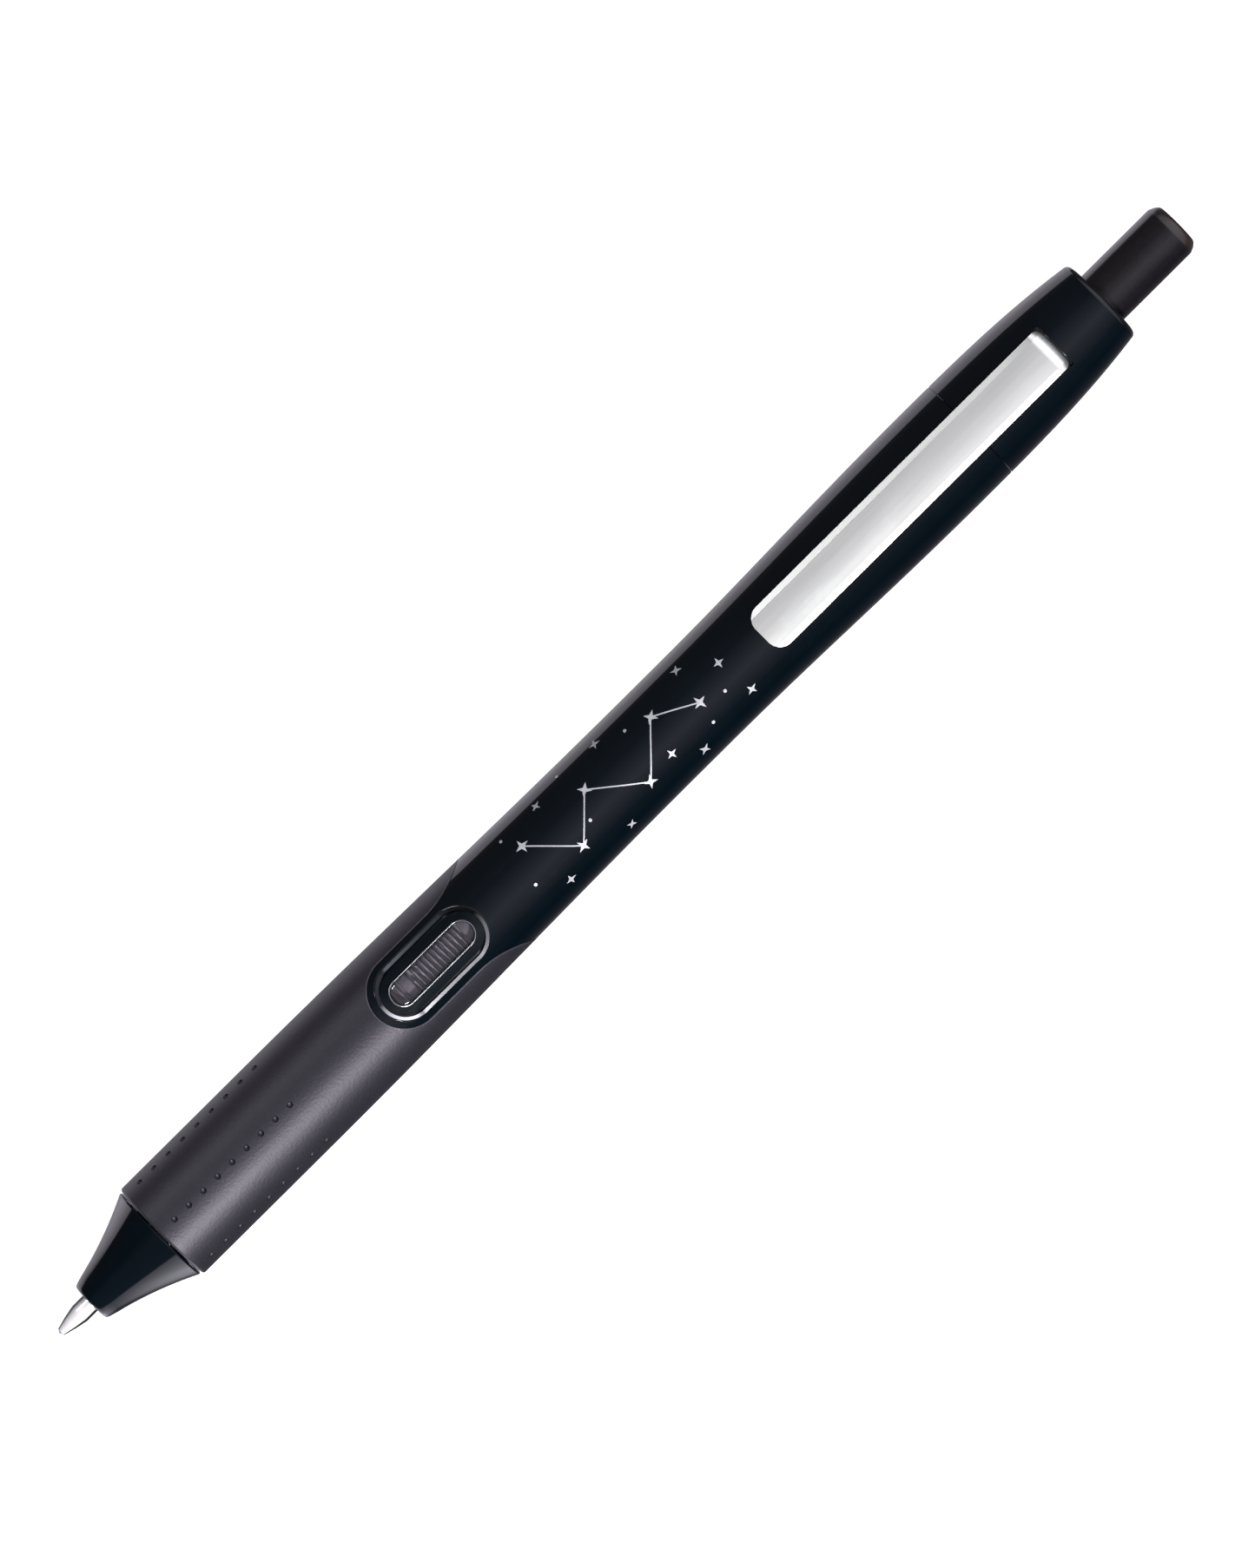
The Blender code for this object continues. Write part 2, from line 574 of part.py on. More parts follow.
def make_clip(parts, cutters, hinge):
    """A strip of sheet metal that bends down into the cap and hooks under its wall."""
    slope = (CLIP_TOP_REAR - CLIP_TOP_FRONT) / (CLIP_REAR - CLIP_FRONT)
    bend_middle = (world_x(CLIP_REAR - CLIP_BEND), CLIP_TOP_REAR - CLIP_BEND)
    inner_bend = CLIP_BEND - CLIP_SHEET
    front = world_x(CLIP_FRONT)
    top = [(front + n, CLIP_TOP_FRONT + slope * n) for n in (0.0, 4.0, 12.0, 24.0)]
    outline = top + arc(*bend_middle, CLIP_BEND, 90, 0, 8)
    outline += [(world_x(CLIP_REAR), CLIP_HOOK_LOW), (world_x(CLIP_REAR - CLIP_SHEET), CLIP_HOOK_LOW)]
    outline += arc(*bend_middle, inner_bend, 0, 90, 6)
    outline += [(x, z - CLIP_SHEET) for x, z in reversed(top)]
    strip = prism(
        "pocket_clip", parts, outline, -CLIP_HALF_WIDTH, CLIP_HALF_WIDTH, turn=(math.pi / 2, 0.0, 0.0)
    )

    corner = 1.3
    rear = world_x(CLIP_REAR) + 2
    flat = CLIP_HALF_WIDTH - corner
    plan = arc(front + corner, flat, corner, 90, 180, 6) + arc(front + corner, -flat, corner, 180, 270, 6)
    plan += [(rear, -CLIP_HALF_WIDTH - 1), (rear, CLIP_HALF_WIDTH + 1), (front + corner, CLIP_HALF_WIDTH + 1)]
    plan.insert(14, (front + corner, -CLIP_HALF_WIDTH - 1))
    boolean(strip, prism("clip_plan", cutters, plan, 2.0, 9.0), "INTERSECT")

    hook_front = world_x(CLIP_REAR - CLIP_SHEET - 0.8)
    hook_rear = world_x(CLIP_REAR - CLIP_SHEET / 2)
    hook_outline = [(hook_front, -0.8), (hook_rear, -0.8), (hook_rear, 0.8), (hook_front, 0.8)]
    hook = prism("clip_hook", cutters, hook_outline, CLIP_HOOK_LOW + 0.01, CLIP_HOOK_LOW + 0.3)
    pad_outline = arc(world_x(PAD_STATION), 0.0, 1.0, 0, 345, 23)
    pad_low = body_radius(PAD_STATION) + 0.15
    pad = prism("clip_pad", cutters, pad_outline, pad_low, CLIP_TOP_FRONT - CLIP_SHEET / 2)
    join(strip, hook, pad)
    world = strip.matrix_world.copy()
    strip.parent = hinge
    strip.matrix_world = world
    return strip


def empty(name, group, station, height=FLOOR_TO_AXIS, along_pen=True):
    """A frame on the pen: its Z runs towards the button, and its X down."""
    made = link(bpy.data.objects.new(name, None), group)
    made.empty_display_size = 5 * MM
    made.location = (world_x(station) * MM, 0.0, height * MM)
    if along_pen:
        made.rotation_euler = (0.0, math.pi / 2, 0.0)
    return made


def main():
    clear_scene()
    parts = collection("gel_pen")
    cutters = collection("cutters")
    barrel_axis = empty("barrel_axis", parts, 0.0)
    button_axis = empty("button_axis", parts, 0.0)
    refill_axis = empty("refill_axis", parts, 0.0)
    rotor_axis = empty("rotor_axis", parts, 0.0)
    ball_centre = empty("ball_centre", parts, BALL_RADIUS)
    clip_hinge = empty("clip_hinge", parts, CLIP_HINGE_STATION, FLOOR_TO_AXIS + CLIP_HINGE_HEIGHT, False)

    gloss_black = material("gloss_black_plastic", (0.006, 0.008, 0.010), 0.12)
    soft_black = material("soft_black_rubber", (0.045, 0.042, 0.050), 0.55)
    button_black = material("satin_black_plastic", (0.030, 0.027, 0.030), 0.42)
    chrome = material("bright_chrome", (0.86, 0.86, 0.85), 0.15, metallic=1.0)
    steel = material("nickel_silver", (0.72, 0.71, 0.69), 0.25, metallic=1.0)
    carbide = material("tungsten_carbide", (0.30, 0.30, 0.32), 0.15, metallic=1.0)
    spring_steel = material("spring_steel", (0.55, 0.54, 0.56), 0.30, metallic=1.0)
    clear_plastic = material("clear_plastic", (0.90, 0.92, 0.93), 0.05, transmission=1.0)
    frosted_plastic = material("frosted_plastic", (0.85, 0.86, 0.87), 0.35, transmission=0.6)
    ink_black = material("black_gel_ink", (0.004, 0.004, 0.006), 0.25)
    grease = material("follower_grease", (0.80, 0.72, 0.45), 0.20, transmission=0.7)
    white_plastic = material("natural_acetal", (0.75, 0.75, 0.72), 0.40)
    grey_plastic = material("grey_acetal", (0.22, 0.22, 0.24), 0.40)

    paint(make_barrel(parts, cutters, barrel_axis), gloss_black)
    paint(make_lens(parts, cutters, barrel_axis), clear_plastic)
    paint(make_grip(parts, cutters, barrel_axis), soft_black)
    paint(make_nose(parts, barrel_axis), gloss_black)
    paint(make_cap(parts, cutters, barrel_axis), gloss_black)
    spring, seat = make_spring_and_seat(parts, barrel_axis)
    paint(spring, spring_steel)
    paint(seat, grey_plastic)
    paint(make_cam_sleeve(parts, cutters, barrel_axis), white_plastic)

    refill_finishes = (
        steel, carbide, spring_steel, white_plastic, frosted_plastic, ink_black, grease, white_plastic,
        grey_plastic,
    )
    for piece, finish in zip(make_refill(parts, cutters, refill_axis, ball_centre), refill_finishes):
        paint(piece, finish)
    paint(make_rotor(parts, cutters, rotor_axis), white_plastic)
    paint(make_plunger(parts, cutters, button_axis), white_plastic)
    paint(make_button(parts, button_axis), button_black)
    paint(make_clip(parts, cutters, clip_hinge), chrome)

    for tool in cutters.objects:
        tool.hide_render = True
        tool.display_type = "WIRE"


main()
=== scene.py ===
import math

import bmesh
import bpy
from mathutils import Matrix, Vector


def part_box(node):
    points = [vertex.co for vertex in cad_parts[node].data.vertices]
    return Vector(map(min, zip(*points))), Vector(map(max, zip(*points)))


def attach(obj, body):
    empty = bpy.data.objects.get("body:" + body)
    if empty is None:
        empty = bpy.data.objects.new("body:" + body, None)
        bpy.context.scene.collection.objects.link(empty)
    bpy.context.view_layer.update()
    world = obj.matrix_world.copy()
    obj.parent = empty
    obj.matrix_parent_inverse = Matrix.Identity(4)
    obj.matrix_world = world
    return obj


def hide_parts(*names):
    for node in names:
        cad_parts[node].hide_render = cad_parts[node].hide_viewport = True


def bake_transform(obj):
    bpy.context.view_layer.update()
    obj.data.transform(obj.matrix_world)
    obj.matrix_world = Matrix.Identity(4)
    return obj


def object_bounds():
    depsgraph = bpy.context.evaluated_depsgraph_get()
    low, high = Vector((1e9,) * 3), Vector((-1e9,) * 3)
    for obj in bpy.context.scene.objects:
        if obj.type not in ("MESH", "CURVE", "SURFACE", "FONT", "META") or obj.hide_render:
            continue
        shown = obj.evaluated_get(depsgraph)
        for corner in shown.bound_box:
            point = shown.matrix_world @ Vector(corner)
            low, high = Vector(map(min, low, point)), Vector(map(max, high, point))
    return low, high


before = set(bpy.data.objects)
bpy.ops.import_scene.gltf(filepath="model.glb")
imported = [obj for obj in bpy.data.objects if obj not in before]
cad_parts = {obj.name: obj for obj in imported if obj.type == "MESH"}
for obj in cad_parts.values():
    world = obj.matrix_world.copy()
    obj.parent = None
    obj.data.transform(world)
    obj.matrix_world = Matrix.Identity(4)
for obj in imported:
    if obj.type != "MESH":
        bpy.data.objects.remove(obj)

# %% [markdown]
# # A retractable gel pen
#
# The pen lies along X: its writing ball is at the low end, its push button at the high end, and the pocket
# clip is on top. It is put together from turned plastic shells, a soft grip, a small oval window over the
# return spring, a folded metal clip and a refill. Each piece is modelled at its real place and size, so a
# piece never has to be fitted afterwards.
#
# Places are given the way a pen maker's drawing gives them. A station is a distance in millimetres from the
# front of the writing ball, and a radius is measured from the pen's own axis.

MM = 0.001
cad_low, cad_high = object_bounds()
ball_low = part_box("writing_ball")[0]
tube_low, tube_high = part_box("refill_tube")
TIP_X = ball_low.x
AXIS_Z = (tube_low.z + tube_high.z) / 2
AXIS = Vector((0.0, 0.0, AXIS_Z))
print("pen length in mm:", round((cad_high.x - cad_low.x) / MM, 2))
print("height of the axis over the floor in mm:", round(AXIS_Z / MM, 3))


def at(station, across, height):
    """A point of the pen. All three are in millimetres, and height is over the axis."""
    return Vector((TIP_X + station * MM, across * MM, AXIS_Z + height * MM))


def clear_selection():
    bpy.ops.object.select_all(action="DESELECT")


def pick_out(piece):
    """Makes a piece the active one and the only one selected."""
    clear_selection()
    piece.select_set(True)
    bpy.context.view_layer.objects.active = piece


def edit_all(piece):
    """Opens a piece in edit mode with everything in it selected."""
    pick_out(piece)
    bpy.ops.object.mode_set(mode="EDIT")
    bpy.ops.mesh.select_all(action="SELECT")


def leave_edit():
    bpy.ops.object.mode_set(mode="OBJECT")


def named(name):
    """Names the newest object, and takes its place, turn and scale into its mesh."""
    piece = bpy.context.object
    piece.name = name
    bpy.ops.object.transform_apply(location=True, rotation=True, scale=True)
    return piece


def extrude(step):
    bpy.ops.mesh.extrude_region_move(TRANSFORM_OT_translate={"value": step})


def shade(angle):
    """Shades the active piece smooth, with crisp edges where faces meet at more than this many degrees."""
    bpy.ops.object.shade_smooth_by_angle(angle=math.radians(angle))


def close_up(merge=0.0):
    """Ends an edit: doubles nearer than this many millimetres are merged, and all faces point outwards."""
    bpy.ops.mesh.select_all(action="SELECT")
    if merge:
        bpy.ops.mesh.remove_doubles(threshold=merge * MM)
    bpy.ops.mesh.normals_make_consistent(inside=False)
    leave_edit()


def draw(name, points):
    """Draws a line from point to point, by extruding a plane that was merged to one vertex."""
    clear_selection()
    bpy.ops.mesh.primitive_plane_add(size=0.1 * MM, location=points[0])
    piece = named(name)
    edit_all(piece)
    bpy.ops.mesh.merge(type="CENTER")
    for point, following in zip(points, points[1:]):
        bpy.ops.mesh.extrude_vertices_move(TRANSFORM_OT_translate={"value": following - point})
    bpy.ops.mesh.select_all(action="SELECT")
    return piece


# %% [markdown]
# ## Turned pieces
#
# Most of a pen is round. A turned piece could be a cylinder that is scaled ring by ring, but a drawn half
# outline is easier to read and to change, as it is on a lathe. So a small plane is merged to one vertex, the
# vertex is extruded along the outline, and the line is spun round the pen's axis. An outline that comes back
# to where it started makes a closed wall, and one that starts and ends on the axis makes a solid.

# %% A lathe made of extrude and spin
ROUND_STEPS = 144


def turn(name, outline, steps=ROUND_STEPS, angle=30):
    """Spins an outline of (station, radius) points into a piece with smooth faces and crisp corners."""
    piece = draw(name, [at(station, 0.0, radius) for station, radius in outline])
    bpy.ops.mesh.spin(steps=steps, angle=2 * math.pi, center=AXIS, axis=(1.0, 0.0, 0.0))
    close_up(merge=0.002)
    shade(angle)
    return piece


def closed(outer, bore):
    """One closed outline from an outer profile and a bore, both listed from the front to the rear."""
    return outer + bore[::-1] + outer[:1]


def between(first, last, count):
    """Evenly spaced numbers from first to last."""
    return [first + (last - first) * n / count for n in range(count + 1)]


def fillet(station, radius, size, start, end, count=6):
    """Points round a corner: a quarter of a circle about (station, radius), angles in degrees."""
    turns = [math.radians(a) for a in between(start, end, count)]
    return [(station + size * math.cos(a), radius + size * math.sin(a)) for a in turns]


# %% Cutting one piece with another
def carve(piece, cutter, operation="DIFFERENCE"):
    """Cuts or joins with the exact Boolean, applies it, and removes the cutter."""
    pick_out(piece)
    modifier = piece.modifiers.new("carve", "BOOLEAN")
    modifier.operation = operation
    modifier.object = cutter
    modifier.solver = "EXACT"
    bpy.ops.object.modifier_apply(modifier=modifier.name)
    bpy.data.objects.remove(cutter)


def smooth_again(piece, angle):
    """Merges the doubles that a cut leaves, and shades the piece smooth with crisp edges."""
    edit_all(piece)
    bpy.ops.mesh.remove_doubles(threshold=0.0005 * MM)
    leave_edit()
    shade(angle)


def prism(name, outline, low, high):
    """Stands an outline of (station, across) points up from one height to another."""
    piece = draw(name, [at(station, across, low) for station, across in outline])
    bpy.ops.mesh.edge_face_add()
    extrude((0.0, 0.0, (high - low) * MM))
    close_up()
    return piece


# %% [markdown]
# ## The pen's outside
#
# The grip is straight, the barrel behind it narrows to a soft waist and swells again to a shoulder, and the
# end cap rounds in towards the button. Each stretch is one eased curve, so neighbouring pieces that use the
# same curve always meet flush.

# %% The outside curve
GRIP_RADIUS = 5.5
WAIST_RADIUS = 5.0
SHOULDER_RADIUS = 5.55
NOSE_FRONT = 4.1
GRIP_FRONT = 13.45
GRIP_TAPER = 30.0
WAIST_FRONT = 79.0
WAIST_REAR = 83.0
SHOULDER = 115.5
SEAM = 119.3
CAP_REAR = 136.6
CAP_ROUNDING = 1.08
CORE_RADIUS = 4.6
BARREL_BORE = 3.9


def ease(share):
    """A smooth step from 0 to 1."""
    return 0.5 - 0.5 * math.cos(math.pi * min(1.0, max(0.0, share)))


def body_radius(station):
    if station < WAIST_REAR:
        share = (station - GRIP_TAPER) / (WAIST_FRONT - GRIP_TAPER)
        return GRIP_RADIUS + (WAIST_RADIUS - GRIP_RADIUS) * ease(share)
    if station < SHOULDER:
        share = (station - WAIST_REAR) / (SHOULDER - WAIST_REAR)
        return WAIST_RADIUS + (SHOULDER_RADIUS - WAIST_RADIUS) * ease(share)
    share = (station - SHOULDER) / (CAP_REAR - SHOULDER)
    return SHOULDER_RADIUS - CAP_ROUNDING * share**2.9


def skin(front, rear, count):
    """A stretch of the outside curve."""
    return [(station, body_radius(station)) for station in between(front, rear, count)]


for place, station in (("waist", WAIST_REAR), ("seam", SEAM)):
    print("radius in mm at the", place, round(body_radius(station), 3))

# %% [markdown]
# ## Where the barrel shows and where the grip covers it
#
# On top, a round-ended tongue of the barrel runs forward into the grip and holds the window. It flares out
# to the pen's sides. Underneath, the grip ends in a low arch. Both borders are drawn once, and the barrel
# and the grip are cut with the same two blocks, the grip's with a small gap so that a fine dark line stays
# between them.

# %% The tongue and the arch
TONGUE_FRONT = 41.9
TONGUE_HALF_WIDTH = 3.45
FLARE_FRONT = 51.5
FLARE_REAR = 58.0
FLARE_WIDTH = 2.1
SIDE_STATION = 57.6
BACK_STATION = 61.0
ARCH_HALF_WIDTH = 5.3
SLEEVE_REAR = BACK_STATION + 1.0
FAR_SIDE = 9.0


def tongue_edge(gap):
    """The border on top, from one side of the pen round the tongue's nose to the other side."""
    half = TONGUE_HALF_WIDTH + gap
    flare = []
    for share in between(0.0, 1.0, 14):
        flare.append((FLARE_FRONT + (FLARE_REAR - FLARE_FRONT) * share, half + FLARE_WIDTH * share**2))
    nose = []
    for turned in between(90, 270, 40):
        angle = math.radians(turned)
        nose.append((TONGUE_FRONT + TONGUE_HALF_WIDTH + half * math.cos(angle), half * math.sin(angle)))
    return flare[::-1] + nose + [(station, -across) for station, across in flare]


def arch_edge(gap):
    """The border underneath, from side to side."""
    points = []
    for across in between(ARCH_HALF_WIDTH, -ARCH_HALF_WIDTH, 36):
        rise = math.cos(math.pi / 2 * max(-1.0, min(1.0, across / ARCH_HALF_WIDTH)))
        points.append((SIDE_STATION + (BACK_STATION - SIDE_STATION) * rise - gap, across))
    return points


def barrel_side(edge):
    """Closes a border into an area that reaches over the barrel."""
    far = BACK_STATION + 4.0
    beside = edge[0][1] + 3.0
    return [(far, beside), (edge[0][0], beside)] + edge + [(edge[-1][0], -beside), (far, -beside)]


def share_blocks(gap):
    """The two blocks that together hold what belongs to the barrel."""
    top = prism("share_top", barrel_side(tongue_edge(gap)), -0.001, FAR_SIDE)
    back = prism("share_back", barrel_side(arch_edge(gap)), -FAR_SIDE, 0.001)
    return top, back


# %% [markdown]
# ## The front barrel
#
# A long injection-moulded shell in gloss black. It is turned as one closed wall with its bore, then cut in
# twice, for the pocket that the grip fills and for the window's oval bezel. Its polished surface stays
# unbroken from the tongue to the seam.

# %% Turn the barrel and cut its pocket
DISH_MIDDLE = 48.95
DISH_HALF_LENGTH = 6.35
DISH_HALF_WIDTH = 2.9

spigot = [(SEAM, 4.5), (120.2, 4.5), (120.4, 4.3)]
for ridge in (121.2, 122.9):
    spigot += [(ridge - 0.2, 4.3), (ridge, 4.5), (ridge + 0.7, 4.5), (ridge + 0.9, 4.3)]
spigot.append((125.2, 4.3))
seam_radius = body_radius(SEAM)
seam_round = [(SEAM - 0.12, seam_radius), (SEAM - 0.03, seam_radius - 0.015), (SEAM, seam_radius - 0.06)]
barrel_outer = skin(GRIP_FRONT, SEAM - 0.3, 56) + seam_round + spigot
barrel_bore = [(GRIP_FRONT, 3.95), (21.5, 3.95), (21.5, 3.2), (43.4, 3.2)]
barrel_bore += [(43.4, BARREL_BORE), (125.2, BARREL_BORE)]
barrel = turn("barrel_shell", closed(barrel_outer, barrel_bore))

pocket_outer = [(GRIP_FRONT - 1, FAR_SIDE), (BACK_STATION + 2, FAR_SIDE)]
pocket_bore = [(GRIP_FRONT - 1, CORE_RADIUS), (BACK_STATION + 2, CORE_RADIUS)]
pocket = turn("grip_pocket", closed(pocket_outer, pocket_bore))
for block in share_blocks(0.0):
    carve(pocket, block)
carve(barrel, pocket)
print("barrel faces after the pocket:", len(barrel.data.polygons))


# %% Cut the hole for the bezel
def stadium(middle, half_length, half_width, count=40):
    """A round-ended slot seen from above."""
    reach = half_length - half_width
    points = []
    for side, start in ((1, -90), (-1, 90)):
        for turned in between(start, start + 180, count):
            angle = math.radians(turned)
            along = middle + side * reach + half_width * math.cos(angle)
            points.append((along, half_width * math.sin(angle)))
    return points


hole = prism("bezel_hole", stadium(DISH_MIDDLE, DISH_HALF_LENGTH, DISH_HALF_WIDTH), 2.0, FAR_SIDE)
carve(barrel, hole)
smooth_again(barrel, 30)

# %% [markdown]
# ## The bezel round the window
#
# The window sits at the bottom of a shallow oval dish. Its rim has a soft rolled lip, a steep wall, a floor
# that follows the pen's roundness, and a fine bead round the opening. It could be sculpted in the barrel,
# but rims like this are easier to control as a ring of their own: a circle is stretched into a slot and
# extruded again and again, and each new loop is moved to its own width and radius.

# %% Loops that follow the pen
LOOP_POINTS = 96


def cap_ends():
    """Fills the open ends of a piece."""
    bpy.ops.mesh.select_all(action="DESELECT")
    bpy.ops.mesh.select_non_manifold()
    bpy.ops.mesh.edge_face_add()


def slot_loop(piece, middle, loop, last_reach):
    """Moves the selected loop to a slot's size, at its radius from the axis, and gives back its reach."""
    half_width, half_length, radius = loop
    reach = (half_length - half_width) * MM
    centre_x = at(middle, 0.0, 0.0).x
    mesh = bmesh.from_edit_mesh(piece.data)
    for vert in [v for v in mesh.verts if v.select]:
        side = 1.0 if vert.co.x > centre_x else -1.0
        end = Vector((centre_x + side * last_reach, 0.0))
        ray = (Vector((vert.co.x, vert.co.y)) - end).normalized() * half_width * MM
        vert.co.x = centre_x + side * reach + ray.x
        vert.co.y = ray.y
        station = (vert.co.x - TIP_X) / MM
        from_axis = radius(station) if callable(radius) else radius
        vert.co.z = AXIS_Z + math.sqrt((from_axis * MM) ** 2 - vert.co.y**2)
    bmesh.update_edit_mesh(piece.data)
    return reach


def slot_ring(name, middle, loops, is_ring=True):
    """Builds a slot-shaped piece from loops of (half width, half length, radius)."""
    clear_selection()
    bpy.ops.mesh.primitive_circle_add(
        vertices=LOOP_POINTS, radius=loops[0][0] * MM, location=at(middle, 0.0, 0.0),
        rotation=(0.0, 0.0, math.pi / LOOP_POINTS),
    )
    piece = named(name)
    edit_all(piece)
    reach = slot_loop(piece, middle, loops[0], 0.0)
    for loop in loops[1:]:
        extrude((0.0, 0.0, 0.0))
        reach = slot_loop(piece, middle, loop, reach)
    if not is_ring:
        bpy.ops.mesh.edge_face_add()
        cap_ends()
    close_up(merge=0.002)
    shade(40)
    return piece


def over_skin(rise):
    return lambda station: body_radius(station) + rise


# %% The bezel's section, from its outer lip down the slope and along the floor to the window
FLOOR_RADIUS = 4.75
STEP_RADIUS = 5.085
WINDOW_HALF_WIDTH = 1.24
WINDOW_HALF_LENGTH = 5.0
DISH_REACH = DISH_HALF_LENGTH - DISH_HALF_WIDTH
WINDOW_REACH = WINDOW_HALF_LENGTH - WINDOW_HALF_WIDTH
UNDER = BARREL_BORE + 0.05
HOLE_FIT = 0.03


def round_dish(half_width, radius):
    return half_width, half_width + DISH_REACH, radius


def round_window(half_width, radius):
    return half_width, half_width + WINDOW_REACH, radius


lip = [(0.08, -0.01), (0.06, 0.015), (0.02, 0.03), (-0.02, 0.02), (-0.05, -0.02)]
bezel_loops = [round_dish(DISH_HALF_WIDTH + w, over_skin(rise)) for w, rise in lip]
bezel_loops += [round_dish(2.56, STEP_RADIUS - 0.03), round_dish(2.52, 4.8)]
bezel_loops += [round_dish(2.47, FLOOR_RADIUS), round_dish(1.8, FLOOR_RADIUS)]
bezel_loops += [round_window(1.5, FLOOR_RADIUS), round_window(WINDOW_HALF_WIDTH, FLOOR_RADIUS)]
bezel_loops += [round_window(WINDOW_HALF_WIDTH, UNDER), round_dish(DISH_HALF_WIDTH - HOLE_FIT, UNDER)]
bezel_loops += [round_dish(DISH_HALF_WIDTH - HOLE_FIT, over_skin(-0.05)), bezel_loops[0]]
bezel = slot_ring("window_bezel", DISH_MIDDLE, bezel_loops)

# %% The metal step inside the lip, bright on the near side and painted dark on the far side as shade, and the fine bead round the window
slope_face = [round_dish(2.87, over_skin(-0.005)), round_dish(2.53, STEP_RADIUS)]
slope_back = [round_dish(2.53, 4.9), round_dish(2.88, over_skin(-0.4))]
slope_loops = slope_face + slope_back + slope_face[:1]
dish_slope = slot_ring("dish_slope", DISH_MIDDLE, slope_loops)
BEAD_RADIUS = 0.085
bead_loops = []
for turned in between(0, 360, 16):
    angle = math.radians(turned)
    half_width = WINDOW_HALF_WIDTH + 0.1 + BEAD_RADIUS * math.cos(angle)
    bead_loops.append(round_window(half_width, FLOOR_RADIUS + 0.04 + BEAD_RADIUS * math.sin(angle)))
bead = slot_ring("window_bead", DISH_MIDDLE, bead_loops)

# %% The clear lens
LENS_FIT = 0.04
lens_width = WINDOW_HALF_WIDTH - LENS_FIT
lens_length = WINDOW_HALF_LENGTH - LENS_FIT
lens_steps = ((0.0, 3.95), (0.0, 4.74), (0.03, 4.79), (0.1, 4.82), (0.4, 4.84), (0.8, 4.845), (1.1, 4.845))
lens_loops = [(lens_width - inset, lens_length - inset, radius) for inset, radius in lens_steps]
lens = slot_ring("clear_lens", DISH_MIDDLE, lens_loops, is_ring=False)
print("bezel and lens faces:", len(bezel.data.polygons), len(lens.data.polygons))

# %% [markdown]
# ## Spring, seat and collar under the window
#
# What shows through the window is the return spring between its seat in the barrel and the collar on the
# refill. The wire's round section is drawn once, and the Screw modifier winds it into the coil: one turn
# adds one pitch.

# %% Wind the return spring
SEAT_REAR = 46.4
COLLAR_FRONT = 52.9
SPRING_RADIUS = 3.42
WIRE_RADIUS = 0.17
SPRING_TURNS = 11.5
spring_front = SEAT_REAR + WIRE_RADIUS + 0.02
spring_rear = COLLAR_FRONT - WIRE_RADIUS - 0.02


def wind(name, front, rear, turns, steps=48, sides=14):
    """Draws the wire's section and winds it from front to rear."""
    clear_selection()
    middle = at(front, 0.0, SPRING_RADIUS)
    bpy.ops.mesh.primitive_circle_add(vertices=sides, radius=WIRE_RADIUS * MM, location=middle)
    coil = named(name)
    edit_all(coil)
    bpy.ops.transform.rotate(value=math.pi / 2, orient_axis="X", center_override=middle)
    bpy.ops.transform.translate(value=-AXIS)
    leave_edit()
    screw = coil.modifiers.new("wind", "SCREW")
    screw.axis = "X"
    screw.angle = 2 * math.pi * turns
    screw.screw_offset = (rear - front) * MM
    screw.steps = round(steps * turns)
    screw.render_steps = screw.steps
    screw.merge_threshold = 0.0001 * MM
    bpy.ops.object.modifier_apply(modifier=screw.name)
    edit_all(coil)
    bpy.ops.transform.translate(value=AXIS)
    cap_ends()
    close_up()
    shade(50)
    return coil


spring = wind("return_spring_coil", spring_front, spring_rear, SPRING_TURNS)
pitch = (spring_rear - spring_front) / SPRING_TURNS
print("spring pitch in mm:", round(pitch, 3), "faces:", len(spring.data.polygons))

# %% Turn the seat and the collar
SEAT_FRONT = 43.5
seat_outer = []
for ring_front, ring_rear in ((SEAT_FRONT, 43.75), (44.1, 44.42), (44.75, 45.07), (45.4, SEAT_REAR)):
    seat_outer += [(ring_front, 3.45), (ring_front, 3.72), (ring_front + 0.08, 3.8), (ring_rear - 0.08, 3.8)]
    seat_outer += [(ring_rear, 3.72), (ring_rear, 3.45)]
seat_outer = seat_outer[1:-1]
seat = turn("spring_seat_ring", closed(seat_outer, [(SEAT_FRONT, 3.12), (SEAT_REAR, 3.12)]), 96)
collar_outer = [(COLLAR_FRONT, 3.5), (COLLAR_FRONT + 0.12, 3.65), (54.5, 3.65), (55.5, 3.32), (55.5, 3.2)]
collar = turn("spring_collar_ring", closed(collar_outer, [(COLLAR_FRONT, 3.05), (55.5, 3.05)]), 96)

# %% [markdown]
# ## The grip
#
# A soft black sleeve with rows of small round dimples along it. The dimples could be painted as bump, but a
# real pit keeps its shading from every side, so one small ball is flattened, copied into rows, and cut out
# of the sleeve. The sleeve's edge round the tongue is rolled over a little to catch the light, and its
# lighter colour is a painted highlight.

# %% Turn the sleeve
SLEEVE_BORE = CORE_RADIUS + 0.05
sleeve_front = fillet(GRIP_FRONT + 0.25, GRIP_RADIUS - 0.25, 0.25, 180, 90)
sleeve_outer = sleeve_front + skin(GRIP_FRONT + 0.9, SLEEVE_REAR, 40)
sleeve_bore = [(GRIP_FRONT, SLEEVE_BORE), (SLEEVE_REAR, SLEEVE_BORE)]
grip = turn("grip_rubber", closed(sleeve_outer, sleeve_bore))

# %% Cut the dimples
DIMPLE_ROWS = 6
DIMPLES_PER_ROW = 9
DIMPLE_FIRST = 15.35
DIMPLE_PITCH = 1.88
DIMPLE_RADIUS = 0.31
DIMPLE_DEPTH = 0.24
DIMPLE_LIFT = 0.04
GRIP_GAP = 0.05


